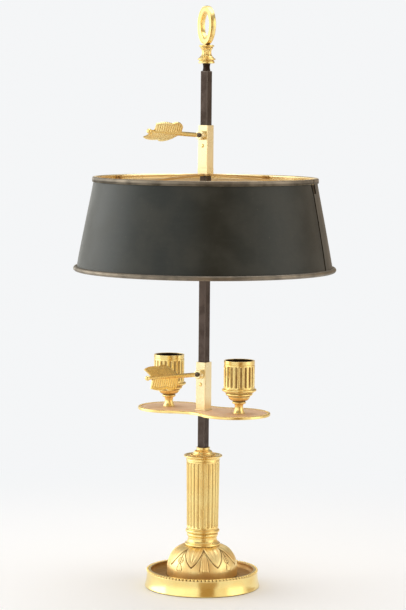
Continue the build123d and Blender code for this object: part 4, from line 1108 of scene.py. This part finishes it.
def plate_line(inset, height, wax_and_shade=0.0):
    """The plate's outline at an inset from its edge, at a height: lobe, waist, lobe, waist."""
    lobe_end = 180 - lobe_opening
    arcs = [(LOBE_PLACE, 0, LOBE_RADIUS - inset, -lobe_end, lobe_end, LOBE_STEPS),
            (0, waist_middle, waist_arc + inset, -lobe_opening, lobe_opening - 180, WAIST_STEPS)]
    points = []
    for side in (1, -1):
        for middle_x, middle_y, radius, start, end, steps in arcs:
            for step in range(steps):
                x, y = around(radius, start + (end - start) * step / steps)
                points.append((side * (middle_x + x), side * (middle_y + y), height, wax_and_shade))
    return points


def square_line(half, height, like):
    """Points on a square, each on the ray from the middle through a point of another line."""
    points = []
    for x, y, *_ in like:
        scale = half / max(abs(x), abs(y))
        points.append((x * scale, y * scale, height, 0.0))
    return points


SLOT_HALF = SLIDE_HALF + 0.05
WAIST_END, RIM_WIDTH = 18.9, 2.6
# A third value in a row darkens the groove under the beads and the engraved line, with wax and painted shade.
plate_rows = [
    (0.3, PLATE_BOTTOM), (0.0, PLATE_BOTTOM + 0.3), (0.0, PLATE_TOP - 0.7), (0.25, PLATE_TOP - 0.2),
    (0.6, PLATE_TOP), (1.1, PLATE_TOP), (1.15, PLATE_TOP - 0.4, 1.0), (2.75, PLATE_TOP - 0.5, 1.0),
    (2.9, FIELD), (4.0, FIELD), (4.25, FIELD - 0.2, 1.0), (4.5, FIELD), (8.0, FIELD), (16.0, FIELD)]
rings = [plate_line(*row) for row in plate_rows]
rings.append(square_line(SLOT_HALF, FIELD, rings[-1]))
rings.append(square_line(SLOT_HALF, PLATE_BOTTOM, rings[-1]))


def on_rim(x, y, z, normal):
    """Says whether a place on the plate is on its rim."""
    if abs(x) > WAIST_END:
        return LOBE_RADIUS - math.hypot(abs(x) - LOBE_PLACE, y) < RIM_WIDTH
    return math.hypot(x, waist_middle - abs(y)) - waist_arc < RIM_WIDTH


plate = smooth(skin("candle_plate_field", rings), plate_gilding)
second_finish(plate, gilding, on_rim)
settle(plate, "candle_arm", "plate_bronze", "candle_plate")
bead_line = [point[:3] for point in plate_line(1.95, PLATE_TOP - 0.6)]
settle(bead_row("plate_beads", bead_line, 150, 1.0, gilding), "candle_arm", "gilt_bronze")

# %% [markdown]
# ## The candle nozzles
# Each nozzle is a small vase: foot, waist, knop, a bowl that widens by a step, a ring of beads, and a
# fluted cup with a plain band at its mouth. It is turned as a blank, and the fluting tree cuts its
# twenty narrow channels. Its stud goes through the plate to the nut below.

# %% Turn and flute the nozzles
NOZZLE_PLACE, CUP_RADIUS, CANDLE_RADIUS, CANDLE_DEPTH = 44.3, 15.8, 11.25, 24.0
LIP_INSIDE, FLUTE_TURN = 14.2, math.radians(4.0)
STUD_END, MOUTH = level("left_nozzle", False), level("left_nozzle")
KNOP, BOWL, STEP, RING_LOW, CUP = (FIELD + up for up in (10.1, 13.3, 18.75, 23.0, 26.6))


def nozzle(name, centre):
    """A fluted candle nozzle about an upright axis at a place along X."""
    outline = eased([
        (0.0, STUD_END), (2.5, STUD_END), (2.5, FIELD), (6.1, FIELD), (6.1, FIELD + 0.7), (5.7, FIELD + 1.1),
        *bow((5.6, FIELD + 1.5), (4.7, KNOP - 0.3), -0.9, 10), (5.3, KNOP),
        *bow((6.2, KNOP + 0.2), (6.2, KNOP + 2.5), 0.9, 8), (6.0, KNOP + 2.6), (6.0, BOWL - 0.1), (7.0, BOWL),
        *bow((7.2, BOWL + 0.1), (11.4, STEP - 0.8), 0.9, 10), (11.5, STEP - 0.3), (12.6, STEP),
        *bow((13.2, STEP + 0.2), (13.5, STEP + 2.3), 0.45, 5), (13.0, STEP + 2.5),
        (13.4, STEP + 2.9), (14.3, STEP + 3.2), (14.5, RING_LOW), (16.2, RING_LOW + 0.1),
        *bow((16.6, RING_LOW + 0.2), (16.6, CUP - 0.9), 1.2, 8), (16.1, CUP - 0.7), (16.1, CUP - 0.1)])
    band = eased([
        (CUP_RADIUS, MOUTH - 4.4), (CUP_RADIUS - 0.35, MOUTH - 4.1), (CUP_RADIUS - 0.35, MOUTH - 3.8),
        (CUP_RADIUS, MOUTH - 3.5), (CUP_RADIUS, MOUTH), (LIP_INSIDE, MOUTH), (LIP_INSIDE - 0.2, MOUTH - 3.4),
        (CANDLE_RADIUS, MOUTH - 3.6), (CANDLE_RADIUS, MOUTH - CANDLE_DEPTH), (0.0, MOUTH - CANDLE_DEPTH)])
    flank = stack(CUP_RADIUS, CUP_RADIUS, CUP, MOUTH - 4.7, 44)

    def groove_shade(angle, radius, height):
        """Painted shade in the three grooves under the bowl and its rings."""
        under_bowl = ridge(height - BOWL - 0.2, 1.3) * (radius < 9)
        under_step, in_ring = ridge(height - STEP + 0.4, 0.7), ridge(height - STEP - 2.7, 0.5)
        return 0.0, max(under_bowl, under_step * 0.9, in_ring * 0.7)

    blank = turned(name, outline + flank + band, gilding, 320, groove_shade, centre=centre)
    cup = grow(flute_tree, blank, {
        "Flutes": 20, "Half Width": 1.4 * MM, "Depth": 0.9 * MM, "Low End": (CUP + 2.4) * MM,
        "High End": (MOUTH - 6.9) * MM, "Spare Radius": 15.3 * MM, "Centre X": centre * MM,
        "Turn": FLUTE_TURN, "Channel Shade": 1.0, "Edge Shade": 0.3, "Material": gilding})
    # The bore is near black: candle soot, and painted shade deep in the cup.
    second_finish(cup, soot_and_shade, lambda x, y, z, normal: (
        math.hypot(x - centre, y) < LIP_INSIDE and z > MOUTH - CANDLE_DEPTH - 1))
    beads = bead_row(name + "_beads", circle(14.3, STEP + 3.7, centre), 56, 0.8, gilding)
    return joined(cup, beads)


settle(nozzle("left_candle_nozzle", -NOZZLE_PLACE), "candle_arm", "gilt_bronze", "left_nozzle")
settle(nozzle("right_candle_nozzle", NOZZLE_PLACE), "candle_arm", "gilt_bronze", "right_nozzle")

# %% [markdown]
# ## The arrow keys
# Each key is a steel clamp screw in a gilt arrow. The screw's thread is a rule again: its radius
# rises and falls once per pitch as the line runs round. A feather's barbs all lean the same way, so
# the vane is skinned over rows that lean with them: each row is one line of barbs, runs from the
# shaft out to the edge, and ends in a small round scallop.

# %% Cut the screws
SCREW_RADIUS, THREAD_PITCH, THREAD_DEPTH, SCREW_OUT = 1.9, 0.75, 0.28, 6.0
TENON_RADIUS, TENON_LENGTH = 1.25, 7.0


def thread(angle, radius, height):
    """Height of the thread on a screw that stands upright on its tip, and a value that darkens its grooves.
    """
    if radius < SCREW_RADIUS - 0.35:
        return 0.0, 0.0
    wave = 0.5 - 0.5 * math.cos(2 * math.pi * (height / THREAD_PITCH - angle / 360.0))
    return -THREAD_DEPTH * wave, wave


def clamp_screw(name, boss, node, body):
    """The clamp screw: tip, thread and the tenon inside the arrow."""
    end = BOSS_LENGTH + SCREW_OUT
    tip = 0.15 - SLIDE_WALL / math.cos(KEY_RISE) + SCREW_RADIUS * math.tan(KEY_RISE)
    outline = [(0.0, tip), (SCREW_RADIUS - 0.4, tip), *stack(SCREW_RADIUS, SCREW_RADIUS, tip + 0.3, end, 130),
               (TENON_RADIUS, end), (TENON_RADIUS, end + TENON_LENGTH), (0.0, end + TENON_LENGTH)]
    screw = turned(name, outline, screw_steel, 40, thread)
    screw.data.transform(along_key(boss))
    settle(screw, body, "screw_steel", node)


clamp_screw("arm_clamp_screw", ARM_BOSS, "arm_key_screw", "arm_key")
clamp_screw("shade_clamp_screw", SHADE_BOSS, "shade_key_screw", "shade_key")

# %% Feather the arrows
VANE_START, VANE_END, VANE_ROOT, VANE_LOW = 33.0, 78.0, 1.6, 1.8
ARROW_REACH, BARB_LEAN, BARB_PITCH, BARB_ROWS, BARB_STEPS = 88.0, 0.625, 3.7, 200, 12
vane_edge = [(VANE_START, VANE_LOW), *bow((VANE_START, VANE_LOW), (51.5, 14.4), -3.6, 14),
             *bow((51.5, 14.4), (58.0, 12.2), -0.5, 6), *bow((58.0, 12.2), (83.5, 10.6), -1.7, 16)]
edge_rows = [(out - BARB_LEAN * (up - VANE_LOW), up) for out, up in vane_edge]


def vane_width(row):
    """How far the vane reaches from the shaft in a row of barbs."""
    for (before, low), (after, high) in zip(edge_rows, edge_rows[1:]):
        if before <= row <= after:
            return low + (high - low) * (row - before) / (after - before)
    return edge_rows[-1][1]


def vane(name, side, tilt):
    """One vane beside the shaft along Z, on one side of X (1 or -1), tilted out of that plane."""
    rows = []
    for step in range(BARB_ROWS + 1):
        row = VANE_START + (VANE_END - VANE_START) * step / BARB_ROWS
        groove = 2 * abs((row / BARB_PITCH) % 1.0 - 0.5)
        width = max(vane_width(row) - 0.3 * groove ** 3, VANE_ROOT + 0.02)
        front, back = [], []
        for across in range(BARB_STEPS + 1):
            share = across / BARB_STEPS
            out = VANE_ROOT + (width - VANE_ROOT) * share
            along = row + BARB_LEAN * (out - VANE_LOW)
            field = min(share * 6, 1) * (1 - rise(share, 0.76, 0.86))
            thick = 0.85 - 0.35 * share - 0.22 * groove ** 3 * field + 0.22 * rise(share, 0.78, 0.88)
            # Painted shade: the grooves between the barbs and the groove inside the rim are darker.
            deep = max(0.7 * groove ** 5 * field, 0.6 * ridge(share - 0.78, 0.05))
            front.append((side * out, thick, along, deep))
            back.append((side * out, -thick, along, deep))
        rows.append(front + back[::-1])
    wing = skin(name, rows, False)
    folded = Matrix.Rotation(math.radians(tilt), 4, "Z")
    wing.data.transform(Matrix.Translation(UP * BOSS_LENGTH * MM) @ folded)
    return smooth(wing, gilding, 50)


def arrow(name, boss, lean, fold, node, body):
    """The gilt arrow: a tapered shaft with a knob, and two vanes that make a shallow V about it."""
    start, end = BOSS_LENGTH + SCREW_OUT, BOSS_LENGTH + ARROW_REACH
    socket_end = start + TENON_LENGTH + 0.2
    shaft = turned(name, eased([
        (1.3, start), (2.0, start), (2.3, start + 0.4), (2.3, start + 14.0), (2.25, start + 26.0),
        (1.9, end - 22.0), (1.6, end - 5.0), (1.7, end - 4.6), *bow((1.7, end - 4.5), (1.3, end), 1.05, 12),
        (0.0, end), (0.0, socket_end), (1.3, socket_end)]), gilding, 40)
    joined(shaft, vane(name + "_upper_vane", 1, fold), vane(name + "_lower_vane", -1, -fold))
    shaft.data.transform(along_key(boss, lean))
    settle(shaft, body, "gilt_bronze", node)


arrow("arm_feathered_arrow", ARM_BOSS, -26.0, 11.0, "arm_key_arrow", "arm_key")
arrow("shade_feathered_arrow", SHADE_BOSS, 49.0, 6.0, "shade_key_arrow", "shade_key")

# %% [markdown]
# ## The shade
# Two tin sheets are rolled into a cone and meet at two seams. Hand-rolled tin is never true, so the
# wall gets slow dents of a quarter of a millimetre. At the front seam the upper corner of the sheet
# has been snipped away under the band, and the strap behind it is painted black on its outer face,
# as painted shade. The cut ends of the sheets are painted dark too, as the shade in the seam. The top
# band is folded over the sheets and stays open a crack at the seam; the lower edge is rolled round a
# wire.

# %% Roll the sheets
SHEET_TOP, SHEET_LOW = level("shade_front_sheet"), 331.7
WALL_TOP, WALL_LOW, SHEET = 114.2, 131.95, 0.7
SEAM_TURN, SEAM_GAP = 13.0, 3.0
SLOT_START, SLOT_END, SLOT_LEVEL = 14.2, 18.8, 411.0
SHEET_STEPS, SHEET_LEVELS, END_STEP, SLOT_STEP = 124, 28, 0.15, 0.02
STRAP_SWEEP, STRAP_LEAD = 9.6, 2.6
seam_opening = math.degrees(SEAM_GAP / ((WALL_TOP + WALL_LOW) / 2))


def wall(height):
    """Outer radius of the cone at a height."""
    return WALL_TOP + (WALL_LOW - WALL_TOP) * (SHEET_TOP - height) / (SHEET_TOP - SHEET_LOW)


def dented(piece):
    """Pushes the wall in and out by slow dents, and lets the free ends at the seams spring outwards."""
    for point in piece.data.vertices:
        x, y, z = in_mm(point.co)
        radius, turn = math.hypot(x, y), math.degrees(math.atan2(y, x))
        fade = rise(z, SHEET_LOW, SHEET_LOW + 12) * (1 - rise(z, SHEET_TOP - 16, SHEET_TOP - 4))
        from_seam = abs((turn - SEAM_TURN + 90) % 180 - 90)
        sprung = 0.7 * (1 - rise(from_seam, 0.0, 4.0)) * rise(z, SHEET_LOW, SHEET_LOW + 25)
        push = 0.45 * noise.noise(Vector((x / 55, y / 55, z / 70))) * fade + sprung * fade
        point.co.x, point.co.y = x * (1 + push / radius) * MM, y * (1 + push / radius) * MM
    return piece


def lined(piece, inner):
    """Notes the lining value, 1 on the faces that inner picks by a face and the way out at its middle."""
    lining = piece.data.attributes.new("lining", "FLOAT", "FACE")
    for face in piece.data.polygons:
        outward = Vector((*face.center.xy, 0)).normalized()
        lining.data[face.index].value = 1.0 if inner(face, outward) else 0.0
    return piece


def sheet(name, start, slotted):
    """One half of the wall, as a thin closed shell; a slotted one has a slot cut under its top band."""
    start, end = start + seam_opening / 2, start + 180 - seam_opening / 2
    first, between = start + END_STEP, end - start - 2 * END_STEP
    turns = [start, first, *[first + between * step / SHEET_STEPS for step in range(1, SHEET_STEPS)],
             end - END_STEP, end]
    if slotted:
        turns = sorted([turn for turn in turns if not SLOT_START - 0.1 < turn < SLOT_END + 0.1]
                       + [SLOT_START - SLOT_STEP, SLOT_START, (SLOT_START + SLOT_END) / 2, SLOT_END,
                          SLOT_END + SLOT_STEP])
    rings, low = [], SHEET_LOW + 0.8
    for turn in turns:
        top = SLOT_LEVEL if slotted and SLOT_START <= turn <= SLOT_END else SHEET_TOP
        heights = [low + (top - low) * step / SHEET_LEVELS for step in range(SHEET_LEVELS + 1)]
        outside = [(wall(height), height) for height in heights]
        inside = [(radius - SHEET, height) for radius, height in outside[::-1]]
        # The cut ends get the full wax_and_shade value: painted shade that draws each seam as a dark line.
        seam_shade = 1.0 if turn in (start, end) else 0.0
        rings.append([(*around(radius, turn), height, seam_shade) for radius, height in outside + inside])
    piece = lined(dented(skin(name, rings, False)), lambda face, outward: face.normal.dot(outward) < -0.5)
    return smooth(piece, shade_paint)


settle(sheet("shade_back_wall", SEAM_TURN, True), "shade_carrier", "tole_paint", "shade_back_sheet")
settle(sheet("shade_front_wall", SEAM_TURN + 180, False), "shade_carrier", "tole_paint", "shade_front_sheet")

strap_levels = (332.9, 365.0, 395.0, 420.0)
strap_section = [(wall(height) - SHEET - inward, height) for inward, heights in (
    (0.05, strap_levels), (0.75, strap_levels[::-1])) for height in heights]
straps = []
for half in (0, 180):
    strap = turned("seam_strap", strap_section, shade_paint, 10, start=SEAM_TURN + half - STRAP_LEAD,
                   sweep=STRAP_SWEEP)
    straps.append(lined(dented(strap), lambda face, outward: True))
    # The strap's outer faces are near black, as painted shade seen through the seam and the slot.
    second_finish(strap, soot_and_shade, lambda x, y, z, normal: normal.dot(Vector((x, y, 0))) > 0)
settle(joined(*straps), "shade_carrier", "tole_paint", "seam_straps")

# %% Fold the band and roll the edge
BAND_TOP, BAND_LOW = level("shade_top_band"), level("shade_top_band", False)
BAND_OUT, BAND_IN, FOLD = wall(BAND_LOW) + 1.3, WALL_TOP - SHEET - 1.7, 0.9
CRACK_TURN, CRACK = 15.2, math.degrees(1.8 / WALL_TOP)
ROLL_PLACE, ROLL_RADIUS = WALL_LOW + 0.85, 2.5
band_section = eased([
    (BAND_OUT, BAND_LOW), (BAND_OUT, BAND_TOP - 1.0), (BAND_OUT - FOLD, BAND_TOP), (BAND_IN + FOLD, BAND_TOP),
    (BAND_IN, BAND_TOP - FOLD), (BAND_IN, BAND_LOW), (BAND_IN + FOLD, BAND_LOW),
    (BAND_IN + FOLD, BAND_LOW + 1.0), (BAND_OUT - FOLD, BAND_LOW + 1.0), (BAND_OUT - FOLD, BAND_LOW)], 0.4)


def band_shade(angle, radius, height):
    """Painted shade under the lower edge of the band, and in the crack."""
    from_crack = abs((angle - CRACK_TURN + 180) % 360 - 180)
    under = height < BAND_LOW + 0.5 and radius > WALL_TOP
    return 0.0, 1.0 if under or from_crack < CRACK / 2 + 0.4 else 0.0


def gilt_inside(x, y, z, normal):
    """Says whether a place on the band is on its inner face or the inner half of its top."""
    return math.hypot(x, y) < WALL_TOP - SHEET or (normal.z > 0.7 and math.hypot(x, y) < WALL_TOP + 0.3)


band = turned("folded_top_band", band_section, edge_gilding, 240, band_shade, start=CRACK_TURN + CRACK / 2,
              sweep=360 - CRACK)
second_finish(band, pale_gilding, gilt_inside)
settle(band, "shade_carrier", "shade_edge", "shade_top_band")
roll_section = [(ROLL_PLACE + out, SHEET_LOW + up)
                for out, up in [around(ROLL_RADIUS, turn) for turn in range(0, 360, 20)]]
roll = turned("rolled_lower_edge", roll_section, edge_gilding, 240)
settle(roll, "shade_carrier", "shade_edge", "shade_bottom_roll")
# The arms under the shade's top are brown gilding, worn and painted darker as shade; the hub below the slide
# stays pale.
spider = eased_copy("shade_spider", "four_armed_spider", aged_and_shaded_gilding, 0.3)
second_finish(spider, pale_gilding, lambda x, y, z, normal: math.hypot(x, y) < 15)
settle(spider, "shade_carrier", "gilt_bronze", "shade_spider")

# %% [markdown]
# ## The ground
# The lamp stands on a pale sheet of card. It is scenery and isn't part of the lamp.
# The gilding also mirrors the card. Seen that way, the card is painted brown in front of the opening
# of the tent, as painted shade where no cloth would light it, so the dark line in the metal runs on
# down to the table. The camera sees the card plain, and it fades into the pale room with the distance.

# %% Lay the ground
CARD_HALF = 6.0
CARD_TONE, CARD_ROUGHNESS = (0.95, 0.96, 0.98, 1), 0.6
GAP_SHADE_STARTS, FADE = (0.09, 0.12), (0.12, 0.75)
card = bpy.data.meshes.new("card")
card.from_pydata([(x * CARD_HALF, y * CARD_HALF, 0) for x, y in ((-1, -1), (1, -1), (1, 1), (-1, 1))],
                 [], [(0, 1, 2, 3)])
paper = bpy.data.materials.new("pale_card")
paper.use_nodes = True
card.materials.append(paper)
tree = paper.node_tree
shader = tree.nodes["Principled BSDF"]
shader.inputs["Roughness"].default_value = CARD_ROUGHNESS
spot = wire(tree, "ShaderNodeTexCoord").outputs["Object"]
from_lamp = wire(tree, "ShaderNodeVectorMath", {0: spot}, operation="LENGTH").outputs["Value"]
in_gap = ramp(tree, towards(tree, unit(tree, spot), gap_middle), *GAP_SIDES)
straight_on = wire(tree, "ShaderNodeLightPath").outputs["Is Camera Ray"]
# Painted shade: in the tent's opening the card turns brown, but only where the metal mirrors it.
opening = sum_up(tree, "MULTIPLY", in_gap, ramp(tree, from_lamp, *GAP_SHADE_STARTS))
opening = sum_up(tree, "MULTIPLY", opening, sum_up(tree, "SUBTRACT", 1.0, straight_on))
tree.links.new(blend(tree, opening, CARD_TONE, CAMERA_GAP), shader.inputs["Base Color"])
far = sum_up(tree, "MULTIPLY", ramp(tree, from_lamp, *FADE), straight_on)
plain = wire(tree, "ShaderNodeEmission", {"Color": BACKDROP_TONE, "Strength": 1.0}).outputs[0]
faded = wire(tree, "ShaderNodeMixShader", {0: far, 1: shader.outputs[0], 2: plain}).outputs[0]
tree.links.new(faded, tree.nodes["Material Output"].inputs["Surface"])
floor = placed("pale_card", card)
print("card:", 2 * CARD_HALF, "metres wide,", len(tree.nodes), "nodes in its finish")
